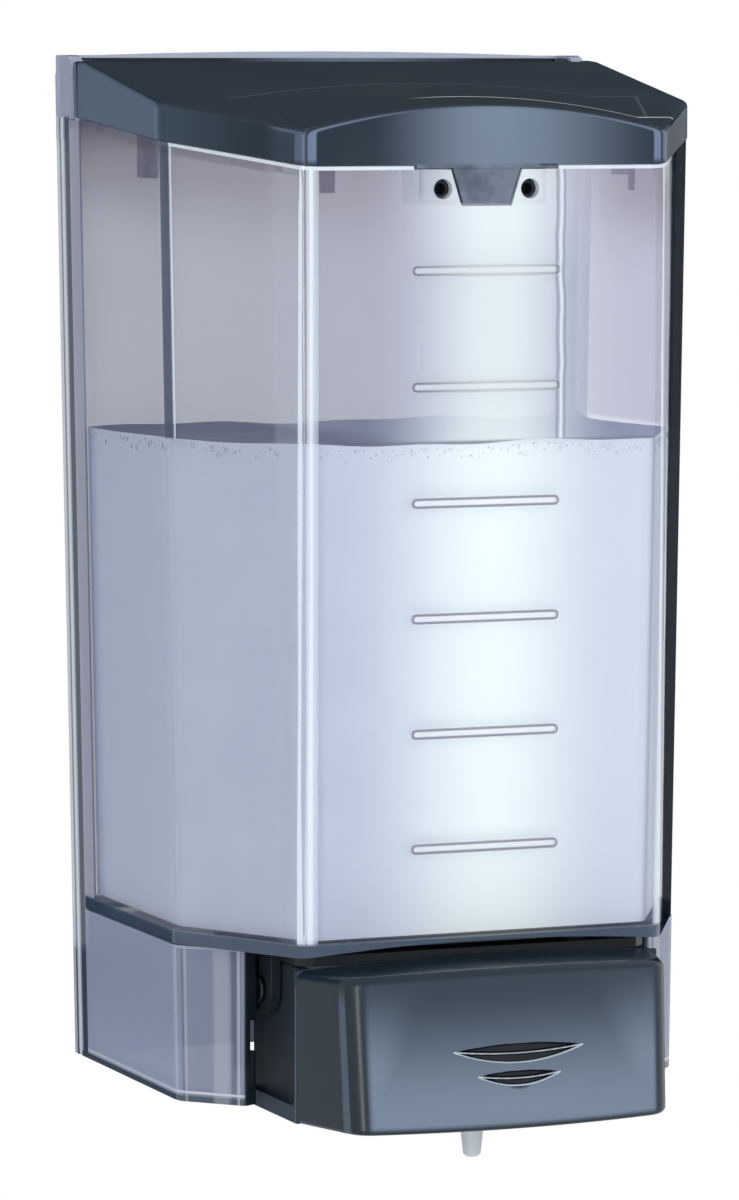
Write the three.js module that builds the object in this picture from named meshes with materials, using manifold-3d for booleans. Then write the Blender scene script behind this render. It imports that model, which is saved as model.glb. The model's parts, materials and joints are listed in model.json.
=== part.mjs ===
// Wall soap dispenser with a clear tank, a hinged lid with a key latch and a push lever on a piston pump.
// Millimetres. X runs to the right, Y into the wall and Z up. Heights are counted from the lower edge of the
// bracket's skirts, and the wall's face is at Y zero. The finished group is lowered so that its origin lies
// in the middle of the bracket's back face.
import * as THREE from "three";
import { mergeVertices } from "three/addons/utils/BufferGeometryUtils.js";
import Module from "manifold-3d";

const wasm = await Module();
wasm.setup();

// Overall plan of the housing
const originHeight = 125;
const halfWidthBase = 65.5;
const widenedHeight = 250;
const halfWidthGain = 4.2;
const cornerInset = 19.3;
const frontCornerHalf = halfWidthBase - cornerInset;
const frontDepthBase = 109;
const frontDepthGain = 1.2;
const chamferDepth = 35.3;
const bendDepth = frontDepthBase - chamferDepth;
const bendRadius = 7;
const cornerRadius = 6;
const tankBase = 38.2;
const edgeFront = 225.1;
const edgeChamferRise = 5.7;
const edgeBend = edgeFront + edgeChamferRise;
const edgeSideRise = 5.5;
const edgeBack = edgeBend + edgeSideRise;
const creaseRise = 13.7;
const creaseHeight = edgeBack + creaseRise;

// Clearances and one overrun for every cut
const gap = 0.3;
const slidingGap = 0.25;
const latchGap = 0.6;
const overrun = 2;

// Wall bracket
const plateThick = 2.5;
const plateRise = 1.3;
const plateShoulder = creaseHeight + plateRise;
const plateArchRise = 1;
const plateTop = plateShoulder + plateArchRise;
const plateArchInset = 9.8;
const plateArchHalf = halfWidthBase + halfWidthGain - plateArchInset;
const plateCornerRadius = 5;
const flangeDepth = 9.7;
const flangeWall = 3;
const flangeDrop = 0.8;
const flangeTop = edgeBack - flangeDrop;
const lugDepth = 14;
const lugWall = 3.2;
const lugTaper = 1.2;
const lugFoot = 5;
const hingeDepth = 7.5;
const hingeDrop = 4;
const hingeHeight = creaseHeight - hingeDrop;
const lugTopRadius = 5.3;
const stubRadius = 2.5;
const stubReach = 3.4;
const skirtTop = tankBase - gap;
const skirtWall = 2.2;
const skirtDelay = 1.3;
const skirtBendDepth = bendDepth + skirtDelay;
const skirtBendRadius = 6;
const skirtNoseInset = 12.4;
const skirtNoseHalf = halfWidthBase - skirtNoseInset;
const skirtNoseReach = 13;
const skirtNoseDepth = skirtBendDepth + skirtNoseReach;
const skirtNoseRadius = 1.4;
const skirtCurlWidth = 3.4;
const skirtEndHalf = skirtNoseHalf - skirtCurlWidth;
const skirtCurlDepth = 1.8;
const skirtEndDepth = skirtNoseDepth - skirtCurlDepth;
const skirtLipHeight = 2.5;
const skirtLipWall = 4.4;
const skirtWindowLow = 13;
const skirtWindowHeight = 7.5;
const wallHoleRadius = 2.6;
const wallHoleInset = 27.5;
const wallHoleHalf = halfWidthBase - wallHoleInset;
const wallHoleLow = 60;
const wallHoleHigh = 150;
const wallBossRadius = 7;
const wallBossDepth = 5.5;

// Tank
const tankBack = flangeDepth + gap;
const tankWall = 2.2;
const tankFloorRise = 1.3;
const tankFloorLow = tankBase + tankFloorRise;
const tankFloor = tankFloorLow + tankWall;
const tankArchRise = 2.1;
const shoulderThick = 3;
const shoulderInset = 4;
const rimRise = 3.6;
const rimWall = 1.4;
const rimStartDepth = 24;
const rimFrontInset = 9;
const rimFrontDepth = frontDepthBase - rimFrontInset;
const rearShelfReach = 8.4;
const rearShelfDepth = tankBack + rearShelfReach;
const rearShelfThick = 2;
const barCount = 6;
const barLowest = 62.9;
const barTopDrop = 24.7;
const barHighest = edgeFront - barTopDrop;
const barHalf = 19;
const barRadius = 1.2;
const barProud = 0.5;
const keyHoleRadius = 2.4;
const keyHoleHalf = 11.2;
const keyHoleDrop = 5.5;
const keyHoleHeight = edgeFront - keyHoleDrop;
const pocketHalf = 16.5;
const pocketFloor = keyHoleHeight - keyHoleRadius;
const pocketWall = 1.2;
const pocketDepth = 9.2;
const spoutInset = 49;
const spoutDepth = frontDepthBase - spoutInset;
const spoutRadius = 8;
const spoutBore = 4;
const spoutDrop = 8.2;
const spoutEnd = tankBase - spoutDrop;
const bossInset = 17;
const bossHalf = frontCornerHalf - bossInset;
const bossBackInset = 45;
const bossFrontInset = 13;
const bossDepths = [frontDepthBase - bossBackInset, frontDepthBase - bossFrontInset];
const bossRadius = 3.5;
const bossDrop = 2.6;
const bossEnd = tankBase - bossDrop;
const bossBore = 1.75;
const bossBoreRise = 0.5;
const bossBoreTop = tankFloorLow + bossBoreRise;

// Soap
const soapLevel = 160;

// Lid
const lidBack = lugDepth + latchGap;
const lidProud = 0.3;
const lidWall = 2.2;
const lidTopWall = 2.4;
const creaseReach = 4.4;
const creaseDepth = lidBack + creaseReach;
const lidRearDrop = 0.6;
const lidRearHeight = creaseHeight - lidRearDrop;
const frontBandHeight = 8.3;
const archCorner = edgeFront + frontBandHeight;
const archRise = 6.1;
const archCentre = archCorner + archRise;
const lipHalf = 18;
const lipDrop = 0.6;
const tabTopHalf = 8.9;
const tabFootHalf = 5.9;
const tabDrop = 8.9;
const tabFoot = edgeFront - tabDrop;
const tabThick = 2.6;
const tabPocketHalf = 3.4;
const tabPocketLow = keyHoleHeight;
const tabPocketHeight = 3.4;
const tabPocketDepth = 1.5;
const guideInset = 4.9;
const guideDepth = frontDepthBase - guideInset;
const guideThick = 1.5;
const guideDrop = 6.3;
const guideFoot = edgeFront - guideDrop;
const guideOuterInset = 5.4;
const guideOuterHalf = frontCornerHalf - guideOuterInset;
const wideGuide = 4.4;
const narrowGuide = 1.6;
const guideTaper = 0.4;
const sideGuideInset = 5.4;
const sideGuideThick = 1.5;
const sideGuideSetback = 53;
const sideGuideFront = frontDepthBase - sideGuideSetback;
const sideGuideWidth = 13;
const sideGuideDrop = 0.1;
const sideGuideFoot = edgeFront - sideGuideDrop;
const earWall = 3;
const earRadius = 4.6;
const webThick = 1.4;

// Lock
const lockPlateInset = 4.2;
const lockPlateFront = frontDepthBase - lockPlateInset;
const lockPlateThick = 2.2;
const lockSideGap = 0.9;
const lockHalf = pocketHalf - pocketWall - lockSideGap;
const lockFloorGap = 1.1;
const lockLow = pocketFloor + lockFloorGap;
const lockHeight = 5.7;
const lockHigh = lockLow + lockHeight;
const cupRadius = 2.1;
const cupBore = 1.4;
const cupReach = 3.5;
const cupFront = lockPlateFront + cupReach;
const cupFloorRise = 0.1;
const noseHalf = 2.6;
const noseHeight = 2;
const noseLow = tabPocketLow + latchGap;
const lockSpringRadius = 1.5;
const lockSpringWire = 0.4;
const lockSpringTurns = 3;

// Chassis
const chassisThick = 2.5;
const chassisTop = tankBase - gap;
const chassisInset = 0.7;
const chassisHalf = frontCornerHalf - chassisInset;
const chassisReach = 14;
const chassisBack = spoutDepth - chassisReach;
const chassisShoulderInset = 8;
const chassisShoulderDepth = frontDepthBase - chassisShoulderInset;
const chassisNoseInset = 4;
const chassisNoseHalf = frontCornerHalf - chassisNoseInset;
const chassisFrontInset = 4.5;
const chassisFront = frontDepthBase - chassisFrontInset;
const postWall = 2.4;
const postReach = 6.5;
const postDrop = 6;
const guideRailWall = 1.8;
const guideRailRise = 5;
const guideRailBackGap = 4;
const guideRailFrontGap = 2;
const screwRadius = 1.45;
const screwHeadRadius = 3.9;
const screwHeadHeight = 2.2;

// Lever and its pins
const pivotInset = 23;
const pivotDepth = frontDepthBase - pivotInset;
const pivotDrop = 10.2;
const pivotHeight = tankBase - pivotDrop;
const coverBase = -1.7;
const coverDrop = 3.4;
const coverTop = tankBase - coverDrop;
const coverArchRise = 1.7;
const coverArchTop = coverTop + coverArchRise;
const cheekProud = 0.8;
const cheekHalf = frontCornerHalf + cheekProud;
const cheekRadius = 6;
const cheekBack = pivotDepth - cheekRadius;
const cheekTail = 6.5;
const cheekTailBack = cheekBack - cheekTail;
const cheekTailDrop = 6;
const cheekTailTop = pivotHeight - cheekTailDrop;
const cheekReach = 20;
const cheekBend = pivotDepth + cheekReach;
const coverCornerInset = 6.7;
const coverCornerHalf = cheekHalf - coverCornerInset;
const coverCornerGain = 0.5;
const coverCornerReach = 21.4;
const coverCornerDepth = cheekBend + coverCornerReach;
const coverBow = 5;
const coverBowDepth = coverCornerDepth + coverBow;
const coverLean = 3;
const coverCornerRadius = 5;
const coverBendRadius = 1.2;
const coverWall = 2.2;
const coverRoof = 2;
const coverRoofLap = 0.5;
const coverRoofBack = cheekBend - coverRoofLap;
const cheekWall = 3.9;
const cheekRecess = 1.7;
const recessInset = 1.2;
const recessFront = cheekBend - recessInset;
const recessLow = 2.2;
const recessRadius = 3;
const postGap = 0.4;
const postInner = cheekHalf - cheekRecess + postGap;
const upperGripHeight = 17.3;
const upperGripHalf = 16.8;
const upperGripRise = 1.3;
const upperGripDrop = 3.4;
const lowerGripHeight = 11.2;
const lowerGripHalf = 10.7;
const lowerGripRise = 0.9;
const lowerGripDrop = 2.7;
const gripRidge = 0.5;
const gripDepth = 1;
const padHalf = 6;
const padRise = 4;
const padRadius = 2.5;
const pinRadius = 2;
const pinHeadRadius = 3.4;
const pinHeadThick = 1.1;
const pinReach = 0.4;

// Pump, whose cylinder lies along Y
const pumpHeight = 8;
const cylinderRadius = 9.2;
const cylinderBore = 7.2;
const cylinderReach = 8;
const cylinderBack = spoutDepth - cylinderReach;
const cylinderEndWall = 2.4;
const cylinderLength = 34;
const cylinderFront = cylinderBack + cylinderLength;
const neckRadius = 8;
const neckBore = 4.2;
const gasketRoom = 2;
const neckTop = spoutEnd - gasketRoom;
const neckShoulder = 1;
const neckPort = 2.25;
const neckFlangeRadius = 9.2;
const neckFlangeThick = 2.5;
const seatRadius = 5;
const seatWell = 2.3;
const seatPort = 2.3;
const inletBallRadius = 3.175;
const inletWire = 0.5;
const inletTurns = 3;
const inletSpringRadius = 2.2;
const gasketRadius = 7.6;
const nutRadius = 11.5;
const nutDrop = 5;
const nutLow = neckTop - nutDrop;
const nutTopGap = 0.8;
const nutHigh = chassisTop - chassisThick - nutTopGap;
const nutLip = 2.2;
const railSideGap = 1.7;
const guideRailHalf = nutRadius + railSideGap;
const glandRadius = 11;
const glandSkirt = 6;
const glandWall = 3;
const glandSealThick = 1.8;
const pistonRadius = 6.7;
const pistonOffset = 10;
const pistonBack = spoutDepth + pistonOffset;
const pistonLength = 7;
const sealGroove = 5.2;
const sealGrooveInset = 2;
const sealOuter = 6.95;
const rodRadius = 4.2;
const rodBore = 1.6;
const returnSpringRadius = 5.4;
const returnWire = 1.1;
const returnTurns = 5;

// Outlet elbow, valve and nozzle
const nozzleInset = 7;
const nozzleDepth = frontDepthBase - nozzleInset;
const elbowHalf = 6;
const elbowReach = 4.6;
const elbowBack = nozzleDepth - elbowReach;
const elbowFront = nozzleDepth + elbowReach;
const elbowDrop = 7.5;
const elbowBase = pumpHeight - elbowDrop;
const elbowRise = 6.4;
const elbowTop = pumpHeight + elbowRise;
const socketDepth = 2.6;
const rodFront = elbowBack + socketDepth - gap;
const stemRadius = 4;
const headReach = 8.8;
const headFront = elbowFront + headReach;
const headThick = 2.4;
const headRadius = 8.6;
const outletSeatDrop = 1.8;
const outletSeat = pumpHeight - outletSeatDrop;
const outletPort = 1.5;
const outletBore = 2.6;
const outletBallRadius = 2;
const outletWire = 0.35;
const outletTurns = 3;
const outletSpringRadius = 1.5;
const spigotRadius = 3.3;
const spigotRise = 2.4;
const nozzleFlange = 4.6;
const nozzleFlangeThick = 2;
const shelfDrop = 1.3;
const nozzleShelf = elbowBase - shelfDrop;
const nozzleRadius = 2.75;
const nozzleStraightLength = 7.5;
const nozzleStraight = elbowBase - nozzleStraightLength;
const nozzleTipRadius = 2.15;
const nozzleTaperLength = 6.4;
const nozzleTip = nozzleStraight - nozzleTaperLength;
const nozzleRound = 0.7;
const nozzleBore = 1;

// Facets
const roundSides = 24;
const smallSides = 16;
const arcSteps = 4;
const springSteps = 8;
const springSides = 5;
const archSteps = 12;
const levelHeight = 40;

// A closed mesh as a solid that can be cut
function solidOf(geometry) {
  const bare = geometry.clone();
  for (const name of Object.keys(bare.attributes)) {
    if (name !== "position") bare.deleteAttribute(name);
  }
  const merged = mergeVertices(bare);
  const vertProperties = Float32Array.from(merged.attributes.position.array);
  const triVerts = Uint32Array.from(merged.index.array);
  return new wasm.Manifold(new wasm.Mesh({ numProp: 3, vertProperties, triVerts }));
}

function geometryOf(solid) {
  const mesh = solid.getMesh();
  const geometry = new THREE.BufferGeometry();
  geometry.setAttribute("position", new THREE.BufferAttribute(new Float32Array(mesh.vertProperties), 3));
  geometry.setIndex(new THREE.BufferAttribute(new Uint32Array(mesh.triVerts), 1));
  geometry.computeVertexNormals();
  return geometry;
}

const join = (first, ...rest) => rest.reduce((sum, item) => sum.add(item), first);
const cut = (first, ...rest) => rest.reduce((left, item) => left.subtract(item), first);
const moved = (geometry, x, y, z) => geometry.translate(x, y, z);

// Corners are [u, v] or [u, v, radius]. Each corner with a radius becomes an arc of a few points.
function rounded(corners, open = false) {
  const points = [];
  corners.forEach((corner, index) => {
    const here = new THREE.Vector2(corner[0], corner[1]);
    const radius = corner[2] ?? 0;
    const isEnd = open && (index === 0 || index === corners.length - 1);
    if (radius <= 0 || isEnd) {
      points.push(here);
      return;
    }
    const last = corners[(index + corners.length - 1) % corners.length];
    const next = corners[(index + 1) % corners.length];
    const back = new THREE.Vector2(last[0], last[1]).sub(here).normalize();
    const ahead = new THREE.Vector2(next[0], next[1]).sub(here).normalize();
    const half = Math.acos(THREE.MathUtils.clamp(back.dot(ahead), -1, 1)) / 2;
    const centre = back.clone().add(ahead).normalize().multiplyScalar(radius / Math.sin(half)).add(here);
    const start = back.clone().multiplyScalar(radius / Math.tan(half)).add(here).sub(centre);
    const end = ahead.clone().multiplyScalar(radius / Math.tan(half)).add(here).sub(centre);
    const turn = Math.atan2(start.cross(end), start.dot(end));
    for (let step = 0; step <= arcSteps; step += 1) {
      const angle = (turn * step) / arcSteps;
      points.push(start.clone().rotateAround(new THREE.Vector2(), angle).add(centre));
    }
  });
  return points;
}

// Corners of a convex outline, listed anticlockwise, drawn in by a distance
function inset(corners, distance) {
  const count = corners.length;
  const lines = corners.map((corner, index) => {
    const next = corners[(index + 1) % count];
    const along = new THREE.Vector2(next[0] - corner[0], next[1] - corner[1]).normalize();
    const inward = new THREE.Vector2(-along.y, along.x).multiplyScalar(distance);
    return { point: new THREE.Vector2(corner[0], corner[1]).add(inward), along };
  });
  return corners.map((corner, index) => {
    const before = lines[(index + count - 1) % count];
    const after = lines[index];
    const between = after.point.clone().sub(before.point);
    const reach = between.cross(after.along) / before.along.cross(after.along);
    const crossing = before.along.clone().multiplyScalar(reach).add(before.point);
    return [crossing.x, crossing.y, Math.max((corner[2] ?? 0) - distance, 0)];
  });
}

// A strip of even thickness along an open path, on its left
function strip(path, thickness) {
  const line = rounded(path, true);
  const inner = line.map((point, index) => {
    const before = line[Math.max(index - 1, 0)];
    const after = line[Math.min(index + 1, line.length - 1)];
    const first = point.clone().sub(before);
    const second = after.clone().sub(point);
    if (first.length() === 0) first.copy(second);
    if (second.length() === 0) second.copy(first);
    first.normalize();
    second.normalize();
    const mean = first.clone().add(second).normalize();
    const across = new THREE.Vector2(-mean.y, mean.x);
    const stretch = across.dot(new THREE.Vector2(-first.y, first.x));
    return across.multiplyScalar(thickness / stretch).add(point);
  });
  return [...line, ...inner.reverse()];
}

// Sections of equal point count at rising places become one closed skin
function loft(drawn, place) {
  const sections = drawn.map(({ at, outline }) => {
    const isAnticlockwise = THREE.ShapeUtils.area(outline) > 0;
    return { at, outline: isAnticlockwise ? outline : [...outline].reverse() };
  });
  const count = sections[0].outline.length;
  const positions = [];
  sections.forEach(({ at, outline }) => {
    outline.forEach((point) => positions.push(...place(point.x, point.y, at)));
  });
  const triangles = [];
  for (let level = 0; level + 1 < sections.length; level += 1) {
    for (let index = 0; index < count; index += 1) {
      const next = (index + 1) % count;
      const low = level * count;
      const high = low + count;
      triangles.push([low + index, low + next, high + next], [low + index, high + next, high + index]);
    }
  }
  const top = (sections.length - 1) * count;
  const cap = (outline) => THREE.ShapeUtils.triangulateShape(outline, []);
  cap(sections[0].outline).forEach(([a, b, c]) => triangles.push([a, c, b]));
  cap(sections[sections.length - 1].outline).forEach((corners) => {
    triangles.push(corners.map((corner) => top + corner));
  });
  const geometry = new THREE.BufferGeometry();
  geometry.setAttribute("position", new THREE.Float32BufferAttribute(positions, 3));
  geometry.setIndex(faceOut(positions, triangles).flat());
  return solidOf(geometry);
}

// Triangles are all turned round when the volume that they enclose comes out negative
function faceOut(positions, triangles) {
  const at = (index) => new THREE.Vector3().fromArray(positions, index * 3);
  let volume = 0;
  triangles.forEach(([a, b, c]) => {
    volume += at(a).dot(at(b).cross(at(c)));
  });
  return volume < 0 ? triangles.map(([a, b, c]) => [a, c, b]) : triangles;
}

const upwards = (u, v, at) => [u, v, at];
const sideways = (u, v, at) => [at, u, v];

function slab(outline, depth) {
  return new THREE.ExtrudeGeometry(new THREE.Shape(outline), { depth, bevelEnabled: false });
}

// Straight prisms. A plan is drawn in X and Y, a profile in Y and Z, and a front view in X and Z.
function planPrism(outline, low, high) {
  return solidOf(moved(slab(outline, high - low), 0, 0, low));
}

function profilePrism(outline, left, right) {
  const x = new THREE.Vector3(0, 1, 0);
  const y = new THREE.Vector3(0, 0, 1);
  const z = new THREE.Vector3(1, 0, 0);
  const turn = new THREE.Matrix4().makeBasis(x, y, z);
  return solidOf(moved(slab(outline, right - left).applyMatrix4(turn), left, 0, 0));
}

// A front view runs from a back depth to a front depth, both counted from the wall
function frontPrism(outline, back, front) {
  return solidOf(moved(slab(outline, front - back).rotateX(Math.PI / 2), 0, -back, 0));
}

const flat = (corners) => corners.map(([u, v]) => new THREE.Vector2(u, v));

function block(left, right, back, front, low, high) {
  const box = new THREE.BoxGeometry(right - left, front - back, high - low);
  return solidOf(moved(box, (left + right) / 2, -(back + front) / 2, (low + high) / 2));
}

// Round bars along Z, Y and X
function postAlongZ(radius, x, depth, low, high, sides = roundSides) {
  const bar = new THREE.CylinderGeometry(radius, radius, high - low, sides).rotateX(Math.PI / 2);
  return solidOf(moved(bar, x, -depth, (low + high) / 2));
}

function barAlongY(radius, x, height, back, front, sides = roundSides) {
  const bar = new THREE.CylinderGeometry(radius, radius, front - back, sides);
  return solidOf(moved(bar, x, -(back + front) / 2, height));
}

function barAlongX(radius, depth, height, left, right, sides = roundSides) {
  const bar = new THREE.CylinderGeometry(radius, radius, right - left, sides).rotateZ(Math.PI / 2);
  return solidOf(moved(bar, (left + right) / 2, -depth, height));
}

// A turned piece from a profile of [radius, height] points, standing on a place along Z
function turned(profile, x, depth, sides = roundSides) {
  const lathe = new THREE.LatheGeometry(flat([...profile, profile[0]]), sides).rotateX(Math.PI / 2);
  return solidOf(moved(lathe, x, -depth, 0));
}

function ball(radius, x, depth, height) {
  return solidOf(moved(new THREE.SphereGeometry(radius, smallSides, smallSides / 2), x, -depth, height));
}

// A helical spring as one unbroken tube along Z from a low end to a high end, before it is placed
function springGeometry(radius, wire, turns, length, label) {
  const steps = turns * springSteps;
  const climb = (length - wire) / turns;
  const positions = [];
  const triangles = [];
  const middle = [];
  for (let step = 0; step <= steps; step += 1) {
    const angle = (2 * Math.PI * step) / springSteps;
    const outward = new THREE.Vector3(Math.cos(angle), Math.sin(angle), 0);
    const centre = outward.clone().multiplyScalar(radius);
    centre.z = wire / 2 + (climb * step) / springSteps;
    middle.push(centre);
    for (let side = 0; side < springSides; side += 1) {
      const around = (2 * Math.PI * side) / springSides;
      const point = outward.clone().multiplyScalar((Math.cos(around) * wire) / 2).add(centre);
      point.z += (Math.sin(around) * wire) / 2;
      positions.push(point.x, point.y, point.z);
      if (step < steps) {
        const here = step * springSides;
        const next = (side + 1) % springSides;
        const a = here + side;
        const b = here + next;
        triangles.push([a, a + springSides, b + springSides], [a, b + springSides, b]);
      }
    }
  }
  const last = steps * springSides;
  for (let side = 1; side + 1 < springSides; side += 1) {
    triangles.push([0, side, side + 1], [last, last + side + 1, last + side]);
  }
  const spans = middle.slice(springSteps).map((point, index) => point.distanceTo(middle[index]));
  const least = Math.min(...spans);
  console.log(`${label}: least gap between curls ${(least - wire).toFixed(2)} mm`);
  const geometry = new THREE.BufferGeometry();
  geometry.setAttribute("position", new THREE.Float32BufferAttribute(positions, 3));
  geometry.setIndex(faceOut(positions, triangles).flat());
  return geometry;
}

// The housing's plan at a height, listed anticlockwise from the back left
const halfWidthAt = (height) => halfWidthBase + (halfWidthGain * height) / widenedHeight;
const frontDepthAt = (height) => frontDepthBase + (frontDepthGain * height) / widenedHeight;

function housingPlan(height, backDepth) {
  const half = halfWidthAt(height);
  const front = -frontDepthAt(height);
  return [
    [-half, -backDepth],
    [-half, -bendDepth, bendRadius],
    [-frontCornerHalf, front, cornerRadius],
    [frontCornerHalf, front, cornerRadius],
    [half, -bendDepth, bendRadius],
    [half, -backDepth],
  ];
}

function housingLoft(low, high, backDepth, drawnIn) {
  const levels = Math.ceil((high - low) / levelHeight);
  const sections = [];
  for (let level = 0; level <= levels; level += 1) {
    const height = low + ((high - low) * level) / levels;
    sections.push({ at: height, outline: rounded(inset(housingPlan(height, backDepth), drawnIn)) });
  }
  return loft(sections, upwards);
}

// Everything below the tank's upper edge, raised or lowered by an amount, as a prism across the housing
const acrossHalf = halfWidthBase + halfWidthGain + overrun;
const farDepth = Math.max(coverBowDepth, frontDepthBase + frontDepthGain + lidProud) + overrun;

function belowEdge(raise, low) {
  const slope = (edgeBend - edgeFront) / (frontDepthAt(edgeFront) - bendDepth);
  const farHeight = edgeFront - slope * (farDepth - frontDepthAt(edgeFront));
  const outline = flat([
    [0, low],
    [0, edgeBack + raise],
    [-tankBack, edgeBack + raise],
    [-bendDepth, edgeBend + raise],
    [-farDepth, farHeight + raise],
    [-farDepth, low],
  ]);
  return profilePrism(outline, -acrossHalf, acrossHalf);
}

// Wall bracket
function bracketPlate() {
  const topHalf = halfWidthAt(plateShoulder);
  const arch = [];
  for (let step = 0; step <= archSteps; step += 1) {
    const share = 1 - (2 * step) / archSteps;
    arch.push([plateArchHalf * share, plateShoulder + plateArchRise * (1 - share * share)]);
  }
  const corners = [
    [-halfWidthBase, 0],
    [halfWidthBase, 0],
    [topHalf, plateShoulder, plateCornerRadius],
    ...arch,
    [-topHalf, plateShoulder, plateCornerRadius],
  ];
  return frontPrism(rounded(corners), 0, plateThick);
}

function bracketFlanges() {
  const outlineAt = (height, drawnIn, front) => {
    const half = halfWidthAt(height) - drawnIn;
    return flat([[-half, 0], [-half, -front], [half, -front], [half, 0]]);
  };
  const channel = (drawnIn, front, low, high) => loft([
    { at: low, outline: outlineAt(low, drawnIn, front) },
    { at: high, outline: outlineAt(high, drawnIn, front) },
  ], upwards);
  const outer = channel(0, flangeDepth, 0, flangeTop);
  const inner = channel(flangeWall, flangeDepth + overrun, -overrun, flangeTop + overrun);
  return cut(outer, inner);
}

function bracketLug(side) {
  const outer = halfWidthAt(flangeTop) * side;
  const inner = (halfWidthAt(flangeTop) - lugWall) * side;
  const outline = rounded([
    [0, flangeTop - lugFoot],
    [-flangeDepth, flangeTop - lugFoot],
    [-flangeDepth, flangeTop],
    [-lugDepth, flangeTop],
    [-lugDepth + lugTaper, hingeHeight],
    [-hingeDepth - lugTopRadius, hingeHeight + lugTopRadius, lugTopRadius],
    [0, hingeHeight + lugTopRadius],
  ]);
  const plate = profilePrism(outline, Math.min(outer, inner), Math.max(outer, inner));
  const tip = inner - stubReach * side;
  const root = (inner + outer) / 2;
  const stub = barAlongX(stubRadius, hingeDepth, hingeHeight, Math.min(tip, root), Math.max(tip, root));
  return join(plate, stub);
}

function skirtPath(height, side) {
  const half = halfWidthAt(height);
  const path = [
    [-half, -flangeDepth + overrun],
    [-half, -skirtBendDepth, skirtBendRadius],
    [-skirtNoseHalf, -skirtNoseDepth, skirtNoseRadius],
    [-skirtEndHalf, -skirtEndDepth],
  ];
  return side < 0 ? path : path.map(([u, v, radius]) => [-u, v, radius]).reverse();
}

function bracketSkirt(side) {
  const wallAt = (height, thickness) => strip(skirtPath(height, side), thickness);
  const tall = loft([
    { at: 0, outline: wallAt(0, skirtWall) },
    { at: skirtTop, outline: wallAt(skirtTop, skirtWall) },
  ], upwards);
  const lip = loft([
    { at: 0, outline: wallAt(0, skirtLipWall) },
    { at: skirtLipHeight, outline: wallAt(skirtLipHeight, skirtLipWall) },
  ], upwards);
  const lipEnd = block(
    -skirtNoseHalf - skirtLipWall, skirtNoseHalf + skirtLipWall,
    skirtBendDepth, farDepth, -overrun, skirtLipHeight + overrun,
  );
  const near = (skirtEndHalf - overrun) * side;
  const far = (skirtNoseHalf - skirtNoseRadius) * side;
  const window = block(
    Math.min(near, far), Math.max(near, far),
    skirtEndDepth - skirtWall - overrun, skirtNoseDepth + overrun,
    skirtWindowLow, skirtWindowLow + skirtWindowHeight,
  );
  return cut(join(tall, cut(lip, lipEnd)), window);
}

function wallBracket() {
  const shell = join(
    bracketPlate(), bracketFlanges(), bracketLug(-1), bracketLug(1), bracketSkirt(-1), bracketSkirt(1),
  );
  const bosses = [];
  const holes = [];
  for (const height of [wallHoleLow, wallHoleHigh]) {
    for (const side of [-1, 1]) {
      const x = wallHoleHalf * side;
      bosses.push(barAlongY(wallBossRadius, x, height, plateThick / 2, wallBossDepth));
      holes.push(barAlongY(wallHoleRadius, x, height, -overrun, wallBossDepth + overrun));
    }
  }
  return cut(join(shell, ...bosses), ...holes);
}

// Tank
const pocketBack = frontDepthAt(pocketFloor) - tankWall - pocketDepth;
const tabBackDepth = frontDepthAt(tabFoot) - tabThick;
const noseFront = tabBackDepth - gap;

function latchOutline(grow) {
  const top = edgeFront + overrun;
  const lean = (tabTopHalf - tabFootHalf) / (edgeFront + gap - tabFoot);
  const topHalf = tabTopHalf + lean * (overrun - gap) + grow;
  return flat([[-topHalf, top], [-tabFootHalf - grow, tabFoot - grow], [tabFootHalf + grow, tabFoot - grow],
    [topHalf, top]]);
}

function tankRim() {
  const inner = housingLoft(tankBase, creaseHeight, tankBack, shoulderInset);
  const band = (outerInset, low, high) => {
    const ring = cut(housingLoft(tankBase, creaseHeight, tankBack, outerInset), inner);
    return cut(ring.intersect(belowEdge(high, tankBase)), belowEdge(low, 0));
  };
  const shoulder = band(tankWall / 2, -shoulderThick, 0);
  const rim = band(shoulderInset - rimWall, -shoulderThick, rimRise);
  const behind = block(-acrossHalf, acrossHalf, 0, rimStartDepth, edgeFront, creaseHeight);
  const ahead = block(-acrossHalf, acrossHalf, rimFrontDepth, farDepth, tankFloor, creaseHeight);
  return cut(join(shoulder, rim), behind, ahead);
}

function tankArch() {
  const points = [];
  for (let step = 0; step <= archSteps; step += 1) {
    const share = 1 - (2 * step) / archSteps;
    points.push([frontCornerHalf * share, tankBase + tankArchRise * (1 - share * share)]);
  }
  points.push([-frontCornerHalf, tankBase - overrun], [frontCornerHalf, tankBase - overrun]);
  return frontPrism(flat(points), frontDepthAt(0) - tankWall, farDepth);
}

function levelBar(height) {
  const face = frontDepthAt(height);
  const outline = rounded([
    [-barHalf, height - barRadius, barRadius],
    [barHalf, height - barRadius, barRadius],
    [barHalf, height + barRadius, barRadius],
    [-barHalf, height + barRadius, barRadius],
  ]);
  return frontPrism(outline, face - tankWall / 2, face + barProud);
}

function lockPocket() {
  const front = frontDepthAt(pocketFloor) - tankWall / 2;
  const back = pocketBack;
  const outer = block(
    -pocketHalf, pocketHalf, back - pocketWall, front, pocketFloor - pocketWall, edgeFront - gap,
  );
  const hollow = block(
    -pocketHalf + pocketWall, pocketHalf - pocketWall,
    back, frontDepthAt(pocketFloor) - tankWall, pocketFloor, edgeFront + overrun,
  );
  return cut(outer, hollow);
}

function rearShelf() {
  const half = halfWidthAt(tankFloor) - tankWall / 2;
  const top = flangeTop - gap;
  return block(-half, half, tankBack + tankWall / 2, rearShelfDepth, top - rearShelfThick, top);
}

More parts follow.
